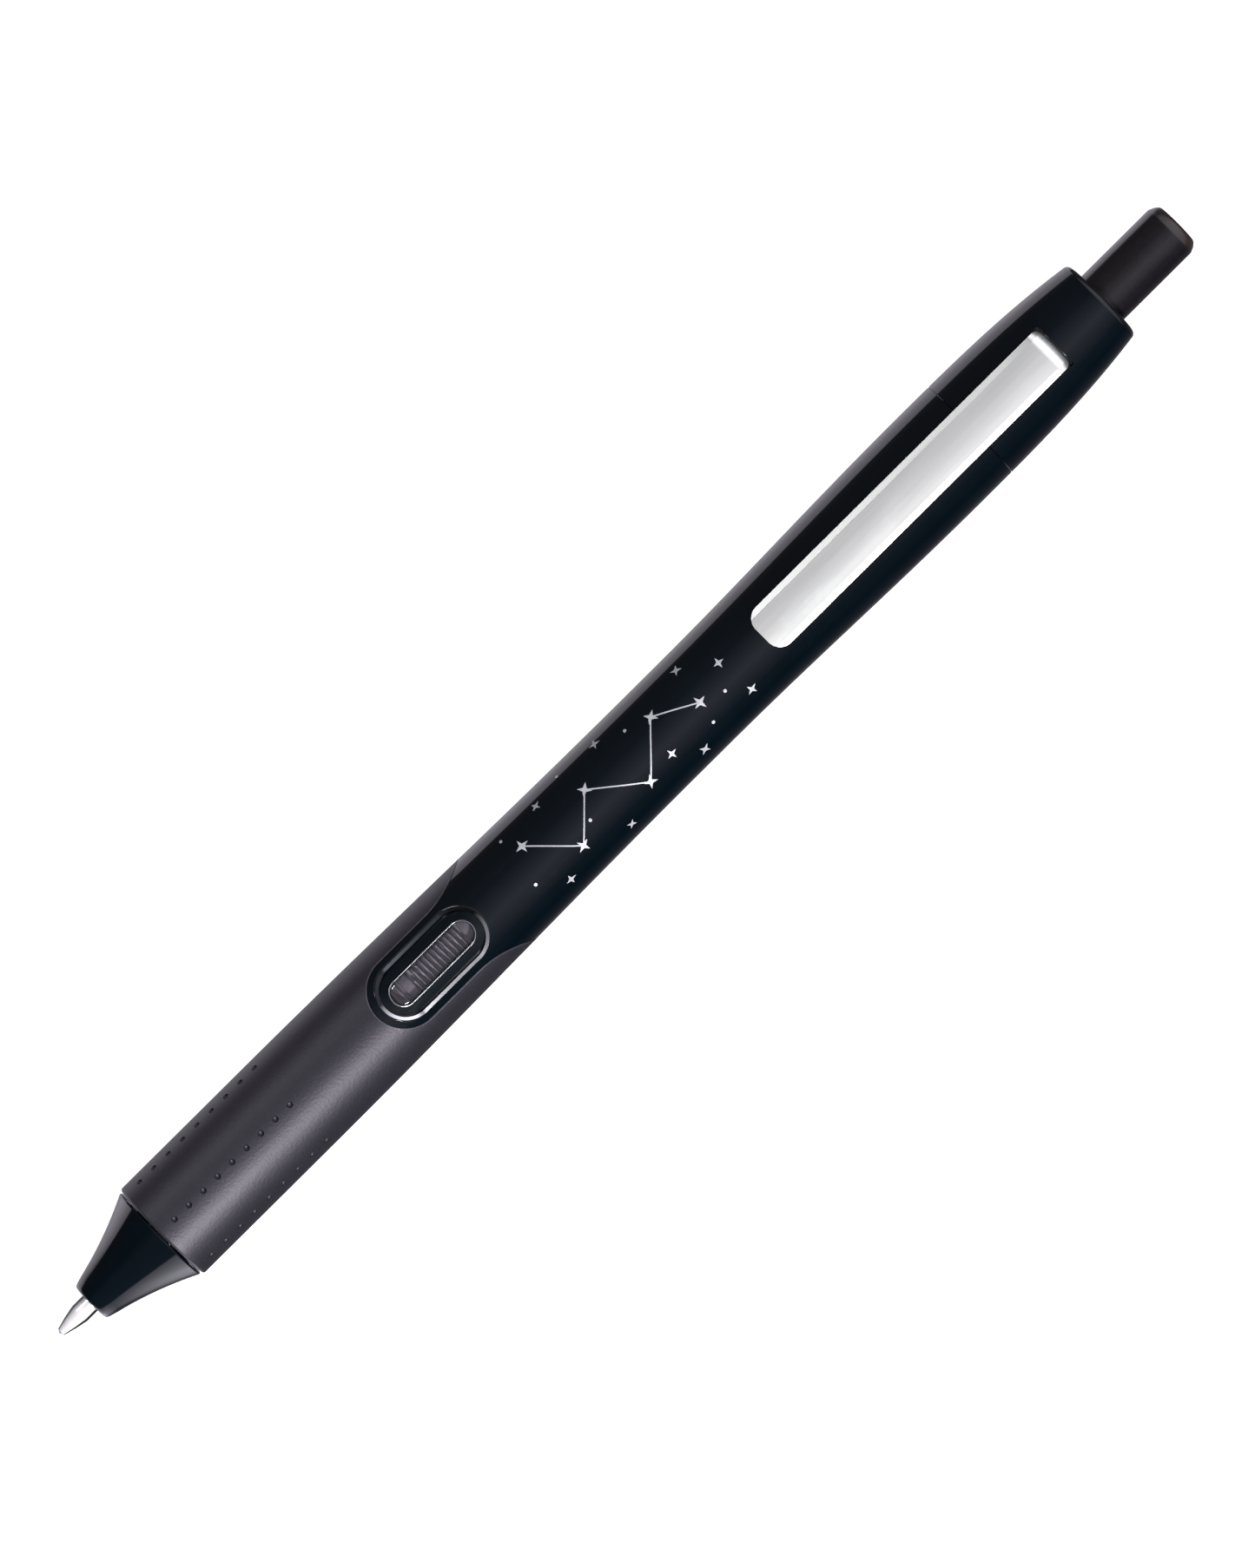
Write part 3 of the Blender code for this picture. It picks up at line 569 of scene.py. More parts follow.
def dimple_cutter():
    """Every dimple at once: a small ball is flattened, and copied along and round the grip."""
    clear_selection()
    first = at(DIMPLE_FIRST, 0.0, GRIP_RADIUS + DIMPLE_LIFT)
    size = DIMPLE_RADIUS * MM
    bpy.ops.mesh.primitive_uv_sphere_add(segments=20, ring_count=12, radius=size, location=first)
    cutter = named("dimples")
    edit_all(cutter)
    flatness = (DIMPLE_DEPTH + DIMPLE_LIFT) / DIMPLE_RADIUS
    bpy.ops.transform.resize(value=(1.0, 1.0, flatness), center_override=first)
    for n in range(1, DIMPLES_PER_ROW):
        bpy.ops.mesh.duplicate_move(TRANSFORM_OT_translate={"value": (DIMPLE_PITCH * MM, 0.0, 0.0)})
    bpy.ops.mesh.select_all(action="SELECT")
    for n in range(1, DIMPLE_ROWS):
        bpy.ops.mesh.duplicate()
        bpy.ops.transform.rotate(value=2 * math.pi / DIMPLE_ROWS, orient_axis="X", center_override=AXIS)
    leave_edit()
    return cutter


carve(grip, dimple_cutter())
for block in share_blocks(GRIP_GAP):
    carve(grip, block)
smooth_again(grip, 30)
print("grip faces with", DIMPLE_ROWS * DIMPLES_PER_ROW, "dimples:", len(grip.data.polygons))


# %% Roll the sleeve's edge
LIP_RADIUS = 0.075


def rolled_edge(name, border, side):
    """A thin round bead that follows a border on the sleeve. Side is 1 on top and -1 underneath."""
    line = bpy.data.curves.new(name, "CURVE")
    line.dimensions = "3D"
    line.bevel_depth = LIP_RADIUS * MM
    line.bevel_resolution = 3
    line.use_fill_caps = True
    spline = line.splines.new("POLY")
    inside = [(s, a) for s, a in border if abs(a) < body_radius(s) - LIP_RADIUS]
    spline.points.add(len(inside) - 1)
    for point, (station, across) in zip(spline.points, inside):
        radius = body_radius(station) - LIP_RADIUS * 0.75
        place = at(station, across, side * math.sqrt(radius**2 - across**2))
        point.co = (*place, 1.0)
    bead = bpy.data.objects.new(name, line)
    bpy.context.scene.collection.objects.link(bead)
    pick_out(bead)
    bpy.ops.object.convert(target="MESH")
    edit_all(bead)
    close_up(merge=0.001)
    shade(60)
    return bead


grip_lip_top = rolled_edge("grip_lip_top", tongue_edge(GRIP_GAP + LIP_RADIUS), 1)
grip_lip_back = rolled_edge("grip_lip_back", arch_edge(GRIP_GAP + LIP_RADIUS), -1)

# %% [markdown]
# ## Nose cone, point and ball
#
# The nose cone flares from the tip hole to the grip in one hollow curve and screws into the barrel. Out of
# it comes the refill's point: a polished cone that holds the ball, and a straight shank behind it.

# %% Turn the nose cone
def nose_radius(station):
    share = (station - NOSE_FRONT) / (GRIP_FRONT - NOSE_FRONT)
    return 2.15 + 1.85 * share + 1.42 * share**2


THREAD_ROOT = 3.65
THREAD_CREST = 3.87
nose_rim = ((0.0, 1.78), (0.02, 1.9), (0.08, 2.0), (0.2, 2.09))
nose_outer = [(NOSE_FRONT + further, radius) for further, radius in nose_rim]
nose_outer += [(NOSE_FRONT + 0.4, 2.18)]
nose_outer += [(station, nose_radius(station)) for station in between(5.3, 13.12, 24)]
nose_outer += [(13.24, nose_radius(13.12) - 0.02), (13.3, nose_radius(13.12) - 0.1), (13.3, THREAD_ROOT)]
for crest in (14.6, 16.8, 19.0):
    nose_outer += [(crest, THREAD_ROOT), (crest + 0.25, THREAD_CREST)]
    nose_outer += [(crest + 0.75, THREAD_CREST), (crest + 1.0, THREAD_ROOT)]
nose_outer.append((21.2, THREAD_ROOT))
nose_bore = [(NOSE_FRONT, 1.22), (NOSE_FRONT + 0.1, 1.12), (5.9, 1.12), (6.1, 1.5), (6.9, 1.75), (10.4, 2.2)]
nose_bore += [(11.5, 3.12), (21.2, 3.12)]
nose = turn("nose_shell", closed(nose_outer, nose_bore))

# %% Turn the point that holds the ball
point_outer = [(0.2, 0.385), (0.26, 0.43), (1.1, 0.66), (1.5, 0.765)]
point_outer += [(2.45, 0.955), (2.6, 0.985), (2.75, 1.0)]
point_outer += [(4.3, 1.0), (4.32, 0.975), (4.42, 0.975), (4.44, 1.0), (7.4, 1.0), (7.4, 1.3), (8.2, 1.3)]
point_outer += [(8.2, 0.95), (11.5, 0.95)]
point_bore = [(0.2, 0.345), (0.35, 0.385), (0.7, 0.36), (0.76, 0.2), (2.0, 0.2), (2.2, 0.5), (11.5, 0.5)]
point = turn("point_cone", closed(point_outer, point_bore), 96, angle=18)
print("nose and point faces:", len(nose.data.polygons), len(point.data.polygons))

# %% [markdown]
# ## End cap and button
#
# The end cap carries on the barrel's curve and rounds over into a ring round the button. A slot on top takes
# the clip. The button is a satin tube with a small chamfer and a slightly crowned end.

# %% Turn the end cap and cut its slot
CLIP_REAR = 130.15
CLIP_SHEET = 0.55
CLIP_HALF_WIDTH = 2.32
BUTTON_RADIUS = 2.83
BUTTON_FRONT = 131.0
LENGTH = (cad_high.x - TIP_X) / MM
cap_front = SEAM + 0.05
cap_round = 0.62
cap_shoulder = body_radius(CAP_REAR - cap_round)
cap_hole = BUTTON_RADIUS + 0.12
cap_outer = [(cap_front, body_radius(cap_front) - 0.06), (cap_front + 0.03, body_radius(cap_front) - 0.015)]
cap_outer += skin(cap_front + 0.12, CAP_REAR - cap_round, 30)
cap_outer += fillet(CAP_REAR - cap_round, cap_shoulder - cap_round, cap_round, 78, 0, 10)
cap_bore = [(cap_front, 4.6), (126.2, 4.6), (126.2, 4.35), (134.0, 4.35), (134.0, cap_hole)]
cap_bore += [(CAP_REAR - 0.25, cap_hole), (CAP_REAR - 0.07, cap_hole + 0.07), (CAP_REAR, cap_hole + 0.22)]
cap = turn("cap_shell", closed(cap_outer, cap_bore))
slot_front, slot_rear, slot_side = CLIP_REAR - CLIP_SHEET - 0.2, CLIP_REAR + 0.2, CLIP_HALF_WIDTH + 0.13
slot_corners = [(slot_front, -slot_side), (slot_rear, -slot_side)]
slot_corners += [(slot_rear, slot_side), (slot_front, slot_side)]
carve(cap, prism("clip_slot", slot_corners, 2.5, FAR_SIDE))
smooth_again(cap, 30)

# %% Turn the button
button_outer = [(BUTTON_FRONT, BUTTON_RADIUS - 0.1), (BUTTON_FRONT + 0.1, BUTTON_RADIUS)]
button_outer += [(station, BUTTON_RADIUS) for station in between(BUTTON_FRONT + 1.0, LENGTH - 1.3, 8)]
button_outer += [(LENGTH - 1.1, BUTTON_RADIUS - 0.005), (LENGTH - 0.95, BUTTON_RADIUS - 0.03)]
button_outer += [(LENGTH - 0.5, 2.6), (LENGTH - 0.3, 2.46), (LENGTH - 0.12, 2.3), (LENGTH - 0.03, 2.12)]
button_outer += [(LENGTH - 0.01, 1.9), (LENGTH, 1.4), (LENGTH, 0.0)]
button_bore = [(BUTTON_FRONT, 1.95), (141.2, 1.95), (141.2, 0.0)]
button = turn("button_cap", button_bore[::-1] + button_outer)
print("cap and button faces:", len(cap.data.polygons), len(button.data.polygons))

# %% [markdown]
# ## The pocket clip
#
# The clip is one strip of spring steel with polished bevels along both edges, bent down at the rear and
# hooked into the cap's slot. Bevels added to a bent strip would run into each other inside the bend, so the
# strip's section is finished first: a plane whose top is cut into parts and crowned, with its outermost
# parts sloping down as the bevels. That section is extruded along the pen, spun through the bend, and
# extruded down into the cap. A block with rounded corners then trims both ends, and a small pad is joined on
# underneath, where the clip presses on the pocket's cloth.

# %% Pick vertices and edges by their place
def pick(piece, test):
    """Selects the vertices of an open piece that pass a test, and nothing else."""
    bpy.ops.mesh.select_mode(type="VERT")
    bpy.ops.mesh.select_all(action="DESELECT")
    mesh = bmesh.from_edit_mesh(piece.data)
    for vert in mesh.verts:
        vert.select_set(bool(test(vert.co)))
    mesh.select_flush_mode()
    bmesh.update_edit_mesh(piece.data)


def pick_edges(piece, test):
    """Selects the edges whose two end points pass a test, and nothing else."""
    bpy.ops.mesh.select_mode(type="EDGE")
    bpy.ops.mesh.select_all(action="DESELECT")
    mesh = bmesh.from_edit_mesh(piece.data)
    for edge in mesh.edges:
        edge.select_set(test(edge.verts[0].co, edge.verts[1].co))
    mesh.select_flush_mode()
    bmesh.update_edit_mesh(piece.data)


# %% Draw the strip's section
CLIP_FRONT = 92.0
CLIP_TOP_FRONT = 6.5
CLIP_TOP_REAR = 6.8
CLIP_BEND = 1.5
CLIP_HOOK_LOW = 3.78
CLIP_CHAMFER = 0.2
CLIP_CROWN = 0.09
SECTION_PARTS = 8
PAD_STATION = 96.0

clear_selection()
section_middle = at(CLIP_FRONT, 0.0, CLIP_TOP_FRONT - CLIP_SHEET / 2)
bpy.ops.mesh.primitive_plane_add(size=1.0, location=section_middle, rotation=(0.0, math.pi / 2, 0.0))
bpy.context.object.scale = (CLIP_SHEET * MM, 2 * CLIP_HALF_WIDTH * MM, 1.0)
clip = named("clip_strip")
edit_all(clip)
pick(clip, lambda place: place.z > section_middle.z)
bpy.ops.mesh.subdivide(number_cuts=SECTION_PARTS - 1)
chamfer_width = 2 * CLIP_HALF_WIDTH / SECTION_PARTS
flat_half = CLIP_HALF_WIDTH - chamfer_width
outline = bmesh.from_edit_mesh(clip.data)
for vert in [v for v in outline.verts if v.co.z > section_middle.z]:
    across = abs(vert.co.y) / MM
    slope = CLIP_CHAMFER * max(0.0, across - flat_half) / chamfer_width
    vert.co.z -= (CLIP_CROWN * (min(across, flat_half) / flat_half) ** 2 + slope) * MM
bmesh.update_edit_mesh(clip.data)
print("points in the clip's section:", len(outline.verts))

# %% Extrude it, spin it through the bend, and extrude it down
bpy.ops.mesh.select_all(action="SELECT")
clip_rise = (CLIP_TOP_REAR - CLIP_TOP_FRONT) * MM
clip_run = (CLIP_REAR - CLIP_BEND - CLIP_FRONT) * MM
CLIP_LENGTHS = 12
for n in range(CLIP_LENGTHS):
    step = (clip_run / CLIP_LENGTHS, 0.0, clip_rise / CLIP_LENGTHS)
    extrude(step)
bend_centre = at(CLIP_REAR - CLIP_BEND, 0.0, CLIP_TOP_REAR - CLIP_BEND)
bpy.ops.mesh.spin(steps=16, angle=math.pi / 2, center=bend_centre, axis=(0.0, -1.0, 0.0))
drop = (CLIP_TOP_REAR - CLIP_BEND - CLIP_HOOK_LOW) * MM
extrude((0.0, 0.0, -drop))
close_up(merge=0.002)

# %% Round the corners and soften the rim
CLIP_CORNER = 1.5
CLIP_REAR_CORNER = 0.8
TRIM_FIT = 0.002


def clip_corner(station, size, side, start):
    """Points round one corner of the clip, seen from above."""
    middle = CLIP_HALF_WIDTH + TRIM_FIT - size
    turns = [math.radians(a) for a in between(start, start + 90, 14)]
    return [(station + size * math.cos(a), side * middle + size * math.sin(a)) for a in turns]


rear_middle = CLIP_REAR + TRIM_FIT - CLIP_REAR_CORNER
trim = clip_corner(rear_middle, CLIP_REAR_CORNER, 1, 0)
trim += clip_corner(CLIP_FRONT + CLIP_CORNER, CLIP_CORNER, 1, 90)
trim += clip_corner(CLIP_FRONT + CLIP_CORNER, CLIP_CORNER, -1, 180)
trim += clip_corner(rear_middle, CLIP_REAR_CORNER, -1, 270)
carve(clip, prism("clip_trim", trim, 0.0, FAR_SIDE), "INTERSECT")
rim = clip.modifiers.new("rim", "BEVEL")
rim.width = 0.09 * MM
rim.segments = 3
rim.limit_method = "ANGLE"
rim.angle_limit = math.radians(50)
rim.use_clamp_overlap = True
bpy.ops.object.modifier_apply(modifier=rim.name)
print("clip faces:", len(clip.data.polygons))

# %% Join the hook and the pad
HOOK_FRONT, HOOK_REAR = 129.0, 129.85
HOOK_HALF_WIDTH = 0.8
hook_outline = [(HOOK_FRONT, -HOOK_HALF_WIDTH), (HOOK_REAR, -HOOK_HALF_WIDTH)]
hook_outline += [(HOOK_REAR, HOOK_HALF_WIDTH), (HOOK_FRONT, HOOK_HALF_WIDTH)]
carve(clip, prism("clip_hook", hook_outline, CLIP_HOOK_LOW + 0.01, CLIP_HOOK_LOW + 0.3), "UNION")
pad_low = body_radius(PAD_STATION) + 0.15


def pad():
    """A small round button under the strip, with a rounded foot."""
    clear_selection()
    pad_top = CLIP_TOP_FRONT - CLIP_SHEET / 2
    middle = at(PAD_STATION, 0.0, (pad_low + pad_top) / 2)
    height = (pad_top - pad_low) * MM
    bpy.ops.mesh.primitive_cylinder_add(vertices=48, radius=MM, depth=height, location=middle)
    made = named("clip_pad")
    edit_all(made)
    foot = at(PAD_STATION, 0.0, pad_low).z
    pick_edges(made, lambda a, b: max(a.z, b.z) < foot + 0.01 * MM)
    bpy.ops.mesh.bevel(offset=0.15 * MM, segments=4, affect="EDGES")
    leave_edit()
    return made


carve(clip, pad(), "UNION")
smooth_again(clip, 13)

# %% [markdown]
# ## The printed stars
#
# A light silver print is on the barrel behind the grip. It could be an image, but then its edges blur close
# up. Here it is real ink: thin flat shapes that are drawn flat, cut fine enough to bend, and wrapped round
# the barrel. The pattern is a plain zigzag of joined stars with loose stars and dots round it.

# %% Draw flat shapes and wrap them on the barrel
INK_THICKNESS = 0.018
PRINT_LIFT = 0.012


def wrap(piece):
    """Bends a flat drawing round the barrel. Its height over the paper becomes its height over the skin."""
    for vert in piece.data.vertices:
        station = (vert.co.x - TIP_X) / MM
        radius = body_radius(station) * MM + vert.co.z
        angle = vert.co.y / (body_radius(station) * MM)
        vert.co = (vert.co.x, radius * math.sin(angle), AXIS_Z + radius * math.cos(angle))


def ink(piece):
    """Gives a flat shape the ink's thickness and wraps it."""
    leave_edit()
    bpy.ops.object.transform_apply(location=True, rotation=True, scale=True)
    edit_all(piece)
    extrude((0.0, 0.0, INK_THICKNESS * MM))
    close_up()
    wrap(piece)
    return piece


def drawn_at(station, around):
    return (TIP_X + station * MM, around * MM, (PRINT_LIFT - INK_THICKNESS / 2) * MM)


def star(station, around, size, points=4, waist=0.34, turned=0.0):
    """A star is a circle with every other point drawn in."""
    clear_selection()
    bpy.ops.mesh.primitive_circle_add(
        vertices=2 * points, radius=size * MM, fill_type="TRIFAN", location=drawn_at(station, around),
        rotation=(0.0, 0.0, math.radians(turned)),
    )
    piece = bpy.context.object
    edit_all(piece)
    bpy.ops.mesh.select_all(action="DESELECT")
    mesh = bmesh.from_edit_mesh(piece.data)
    mesh.verts.ensure_lookup_table()
    rim = [v for v in mesh.verts if v.co.length > size * MM / 2]
    rim.sort(key=lambda v: math.atan2(v.co.y, v.co.x))
    for vert in rim[::2]:
        vert.select_set(True)
    bmesh.update_edit_mesh(piece.data)
    centre = Vector(drawn_at(station, around))
    bpy.ops.transform.resize(value=(waist, waist, 1.0), center_override=centre)
    bpy.ops.mesh.select_all(action="SELECT")
    bpy.ops.mesh.subdivide(number_cuts=1)
    return ink(piece)


def dot(station, around, size):
    clear_selection()
    bpy.ops.mesh.primitive_circle_add(
        vertices=14, radius=size * MM, fill_type="TRIFAN", location=drawn_at(station, around)
    )
    piece = bpy.context.object
    edit_all(piece)
    return ink(piece)


def stroke(start, end, width):
    """A straight line between two places, cut into short lengths so that it can bend."""
    clear_selection()
    span = math.dist(start, end)
    heading = math.atan2(end[1] - start[1], end[0] - start[0])
    middle = drawn_at((start[0] + end[0]) / 2, (start[1] + end[1]) / 2)
    bpy.ops.mesh.primitive_plane_add(size=1.0, location=middle, rotation=(0.0, 0.0, heading))
    piece = bpy.context.object
    piece.scale = (span * MM, width * MM, 1.0)
    edit_all(piece)
    pick_edges(piece, lambda a, b: abs(a.y - b.y) < 0.01)
    bpy.ops.mesh.subdivide(number_cuts=15)
    bpy.ops.mesh.select_all(action="SELECT")
    return ink(piece)


def gather(name, pieces):
    """Joins small shapes into one piece."""
    pick_out(pieces[0])
    for piece in pieces[1:]:
        piece.select_set(True)
    bpy.ops.object.join()
    pieces[0].name = name
    pieces[0].data.name = name
    return pieces[0]


# %% The zigzag: (station, distance round the barrel) in millimetres
CHAIN_STAR = 0.74
DOT_RADIUS = 0.17
LINE_WIDTH = 0.13
chain = [(62.5, 1.9), (66.6, -2.2), (70.3, 1.5), (75.2, -2.4), (79.4, 2.0), (83.6, -0.3)]
loose_stars = [(63.6, -3.9, 0.60), (66.0, 4.0, 0.56), (71.2, -4.4, 0.56), (73.9, 4.4, 0.62)]
loose_stars += [(78.4, -1.9, 0.58), (80.9, -4.2, 0.66), (84.1, 3.7, 0.60)]
loose_stars += [(87.4, 1.1, 0.58), (87.9, -3.0, 0.62)]
dots = [(60.9, -1.6), (68.7, -0.9), (69.3, 4.9), (76.8, 2.9), (83.2, -2.6), (86.0, -1.2), (61.4, 3.9)]

stars = [star(*place, CHAIN_STAR, turned=20.0 * n) for n, place in enumerate(chain)]
stars += [star(*place, turned=25.0 * n) for n, place in enumerate(loose_stars)]
star_print = gather("star_print", stars)
lines = [stroke(a, b, LINE_WIDTH) for a, b in zip(chain, chain[1:])]
line_print = gather("line_print", lines)
dot_print = gather("dot_print", [dot(*place, DOT_RADIUS) for place in dots])
print("printed shapes:", len(stars), "stars,", len(lines), "lines,", len(dots), "dots")

# %% [markdown]
# ## Effects that several finishes share
#
# Real plastic and metal are never quite even: fingers leave faint smears, cloth leaves hair-fine scratches,
# and moulding leaves a slight unevenness. Each effect is a node group that reads the piece's own
# coordinates and gives out a mask or a height, and each material uses it with its own strength.

# %% Helpers for node groups
def new_group(name, inputs, outputs):
    """A shader node group with float or vector inputs, given as (name, type, value)."""
    group = bpy.data.node_groups.new(name, "ShaderNodeTree")
    for socket, kind, value in inputs:
        made = group.interface.new_socket(socket, in_out="INPUT", socket_type=kind)
        if kind == "NodeSocketFloat":
            made.default_value = value
    for socket, kind in outputs:
        group.interface.new_socket(socket, in_out="OUTPUT", socket_type=kind)
    return group, group.nodes.new("NodeGroupInput"), group.nodes.new("NodeGroupOutput")


def add(tree, kind, options=None, **inputs):
    """Adds a shader node, sets its options and its inputs. An input given as a socket is linked."""
    node = tree.nodes.new("ShaderNode" + kind)
    for option, value in (options or {}).items():
        setattr(node, option, value)
    for key, value in inputs.items():
        socket = node.inputs[int(key[1:]) if key[1:].isdigit() else key.replace("_", " ")]
        if isinstance(value, bpy.types.NodeSocket):
            tree.links.new(value, socket)
        else:
            socket.default_value = value
    return node


def spread(tree, value, low, high, out_low=0.0, out_high=1.0):
    """Maps a range of a value to another range, clamped."""
    ends = {"From_Min": low, "From_Max": high, "To_Min": out_low, "To_Max": out_high}
    return add(tree, "MapRange", Value=value, **ends).outputs["Result"]


def maths(tree, operation, a, b):
    return add(tree, "Math", {"operation": operation}, i0=a, i1=b).outputs[0]


def times(tree, a, b):
    return maths(tree, "MULTIPLY", a, b)


def plus(tree, a, b):
    return maths(tree, "ADD", a, b)


def mix(tree, factor, first, second, blend="MIX"):
    """A colour between two, by a factor. Each is a socket, or red, green and blue."""
    first, second = [(*colour, 1.0) if isinstance(colour, tuple) else colour for colour in (first, second)]
    options = {"data_type": "RGBA", "blend_type": blend}
    return add(tree, "Mix", options, i0=factor, i6=first, i7=second).outputs[2]


def noise(tree, place, scale, detail, **inputs):
    return add(tree, "TexNoise", Vector=place, Scale=scale, Detail=detail, **inputs).outputs["Fac"]


VECTOR, FLOAT = "NodeSocketVector", "NodeSocketFloat"

# %% Smears from fingers
amount = ("Amount", FLOAT, 1.0)
smears, given, out = new_group("finger_smears", [("Place", VECTOR, None), amount], [("Mask", FLOAT)])
stretched = add(smears, "Mapping", Vector=given.outputs["Place"], Scale=(60.0, 190.0, 190.0)).outputs[0]
patches = spread(smears, noise(smears, stretched, 1.0, 3.0, Distortion=0.6), 0.48, 0.72)
fine = spread(smears, noise(smears, given.outputs["Place"], 1400.0, 2.0), 0.35, 0.75, 0.4, 1.0)
smears.links.new(times(smears, times(smears, patches, fine), given.outputs["Amount"]), out.inputs["Mask"])

# %% Hair-fine scratches that run mostly along the pen
scratches, given, out = new_group("fine_scratches", [("Place", VECTOR, None), amount], [("Mask", FLOAT)])
lengthwise = {"Rotation": (0.0, 0.0, 0.22), "Scale": (160.0, 5200.0, 5200.0)}
drawn = add(scratches, "Mapping", Vector=given.outputs["Place"], **lengthwise).outputs[0]
thin = spread(scratches, noise(scratches, drawn, 1.0, 4.0, Roughness=0.7), 0.62, 0.74)
zones = spread(scratches, noise(scratches, given.outputs["Place"], 130.0, 2.0), 0.45, 0.65)
lines = times(scratches, times(scratches, thin, zones), given.outputs["Amount"])
scratches.links.new(lines, out.inputs["Mask"])

# %% The slight unevenness of a moulded or rubbery surface
grain_inputs = [("Place", VECTOR, None), ("Size", FLOAT, 0.2)]
grain, given, out = new_group("moulded_grain", grain_inputs, [("Tone", FLOAT), ("Height", FLOAT)])
per_grain = maths(grain, "DIVIDE", 1.0 / MM, given.outputs["Size"])
pebbles = noise(grain, given.outputs["Place"], per_grain, 4.0, Roughness=0.62)
waves = noise(grain, given.outputs["Place"], times(grain, per_grain, 0.16), 2.0)
mixed = plus(grain, times(grain, pebbles, 0.6), times(grain, waves, 0.4))
grain.links.new(spread(grain, mixed, 0.35, 0.65), out.inputs["Tone"])
grain.links.new(pebbles, out.inputs["Height"])
print("shared effects:", [group.name for group in bpy.data.node_groups])


# %% Start a material and read the piece's own coordinates
def start(name, **fixed):
    """A material with one Principled shader. Values that are the same all over are set on it."""
    material = bpy.data.materials.new(name)
    material.use_nodes = True
    tree = material.node_tree
    shader = tree.nodes["Principled BSDF"]
    for socket, value in fixed.items():
        shader.inputs[socket.replace("_", " ")].default_value = value
    place = add(tree, "TexCoord").outputs["Object"]
    return material, tree, shader, place


def effect(tree, group, place, **inputs):
    node = tree.nodes.new("ShaderNodeGroup")
    node.node_tree = group
    tree.links.new(place, node.inputs["Place"])
    for socket, value in inputs.items():
        node.inputs[socket].default_value = value
    return node


def feed(shader, **sources):
    """Links sockets to the shader's inputs."""
    for socket, source in sources.items():
        shader.id_data.links.new(source, shader.inputs[socket.replace("_", " ")])


def bump(tree, shader, height, depth, strength):
    """Gives the shader a relief, whose depth is in millimetres."""
    node = add(tree, "Bump", Height=height, Distance=depth * MM, Strength=strength)
    feed(shader, Normal=node.outputs["Normal"])


# %% [markdown]
# ## Gloss black shells
#
# The barrel, nose cone, end cap and bezel are polished polystyrene, moulded black all through. The colour
# hardly shows; what shows is the room in it. So the finish is a nearly black base with a hint of blue, a very
# low roughness that smears raise here and there, and a faint long waviness from the mould.

# %% Gloss black
def gloss_black(name, wave):
    material, tree, shader, place = start(name, IOR=1.42)
    marks = effect(tree, smears, place, Amount=1.0)
    hairs = effect(tree, scratches, place, Amount=1.0)
    mould = effect(tree, grain, place, Size=3.0)
    colour = mix(tree, mould.outputs["Tone"], (0.0004, 0.0022, 0.0040), (0.0008, 0.0030, 0.0050))
    feed(shader, Base_Color=colour)
    dull = plus(tree, times(tree, marks.outputs["Mask"], 0.07), times(tree, hairs.outputs["Mask"], 0.10))
    feed(shader, Roughness=plus(tree, dull, 0.055))
    height = plus(tree, mould.outputs["Height"], times(tree, hairs.outputs["Mask"], -0.12))
    bump(tree, shader, height, wave, 0.35)
    return material


shell_finish = gloss_black("gloss_black_shell", 0.010)
bezel_finish = gloss_black("gloss_black_bezel", 0.006)

# %% [markdown]
# ## Soft grip rubber
#
# Thermoplastic rubber is nearly black, but its fine skin spreads a lamp's reflection over a third of its
# roundness, so it looks dark grey. A pebbled bump a tenth of a millimetre across breaks that highlight up,
# and the tone drifts between a bluish and a purplish black, as rubber does where it has been handled.

# %% Rubber, and its rolled edge: a glossier rubber whose lighter colour is a painted highlight
def rubber_finish(name, dark, light, roughness):
    material, tree, shader, place = start(name, IOR=1.5, Specular_Tint=(1.0, 0.95, 1.05, 1.0))
    skin_grain = effect(tree, grain, place, Size=0.28)
    handled = effect(tree, smears, place, Amount=1.0)
    feed(shader, Base_Color=mix(tree, skin_grain.outputs["Tone"], dark, light))
    shine = plus(tree, times(tree, handled.outputs["Mask"], -0.05), roughness)
    feed(shader, Roughness=shine)
    bump(tree, shader, skin_grain.outputs["Height"], 0.045, 0.55)
    return material


rubber = rubber_finish("soft_grip_rubber", (0.0035, 0.0045, 0.0070), (0.0065, 0.0065, 0.0095), 0.50)
# The edge's lighter colour is a painted highlight along the sleeve's rolled border.
rubber_edge = rubber_finish("rubber_edge_painted_highlight", (0.030, 0.032, 0.040), (0.050, 0.050, 0.060), 0.34)

# %% [markdown]
# ## Satin button
#
# The button's plastic is the same black, but its mould was blasted to a fine satin. Thumbs scuff the end, so
# its chamfer and crown are a little duller and browner than its side.

# %% Satin black
material, tree, shader, place = start("satin_button", IOR=1.5)
texture = effect(tree, grain, place, Size=0.12)
handled = effect(tree, smears, place, Amount=1.0)
axial = add(tree, "SeparateXYZ", Vector=place).outputs["X"]
end_x = (TIP_X / MM + LENGTH) * MM
worn_end = spread(tree, axial, end_x - 1.3 * MM, end_x - 0.4 * MM)
dark = mix(tree, texture.outputs["Tone"], (0.0040, 0.0038, 0.0048), (0.0080, 0.0070, 0.0080))
feed(shader, Base_Color=mix(tree, worn_end, dark, (0.022, 0.015, 0.013)))
side = plus(tree, times(tree, handled.outputs["Mask"], 0.08), 0.14)
feed(shader, Roughness=plus(tree, side, times(tree, worn_end, 0.10)))
bump(tree, shader, texture.outputs["Height"], 0.006, 0.4)
satin = material

# %% [markdown]
# ## Metals
#
# The clip is stamped steel, satin-polished along its length and then plated, so its highlight is soft and
# its brush lines run from end to end. The point is turned and polished bright, and keeps the fine rings of
# the lathe. The spring is drawn wire. One recipe makes all of them: a metallic base whose colour and
# roughness follow lines that are stretched along or round the piece.

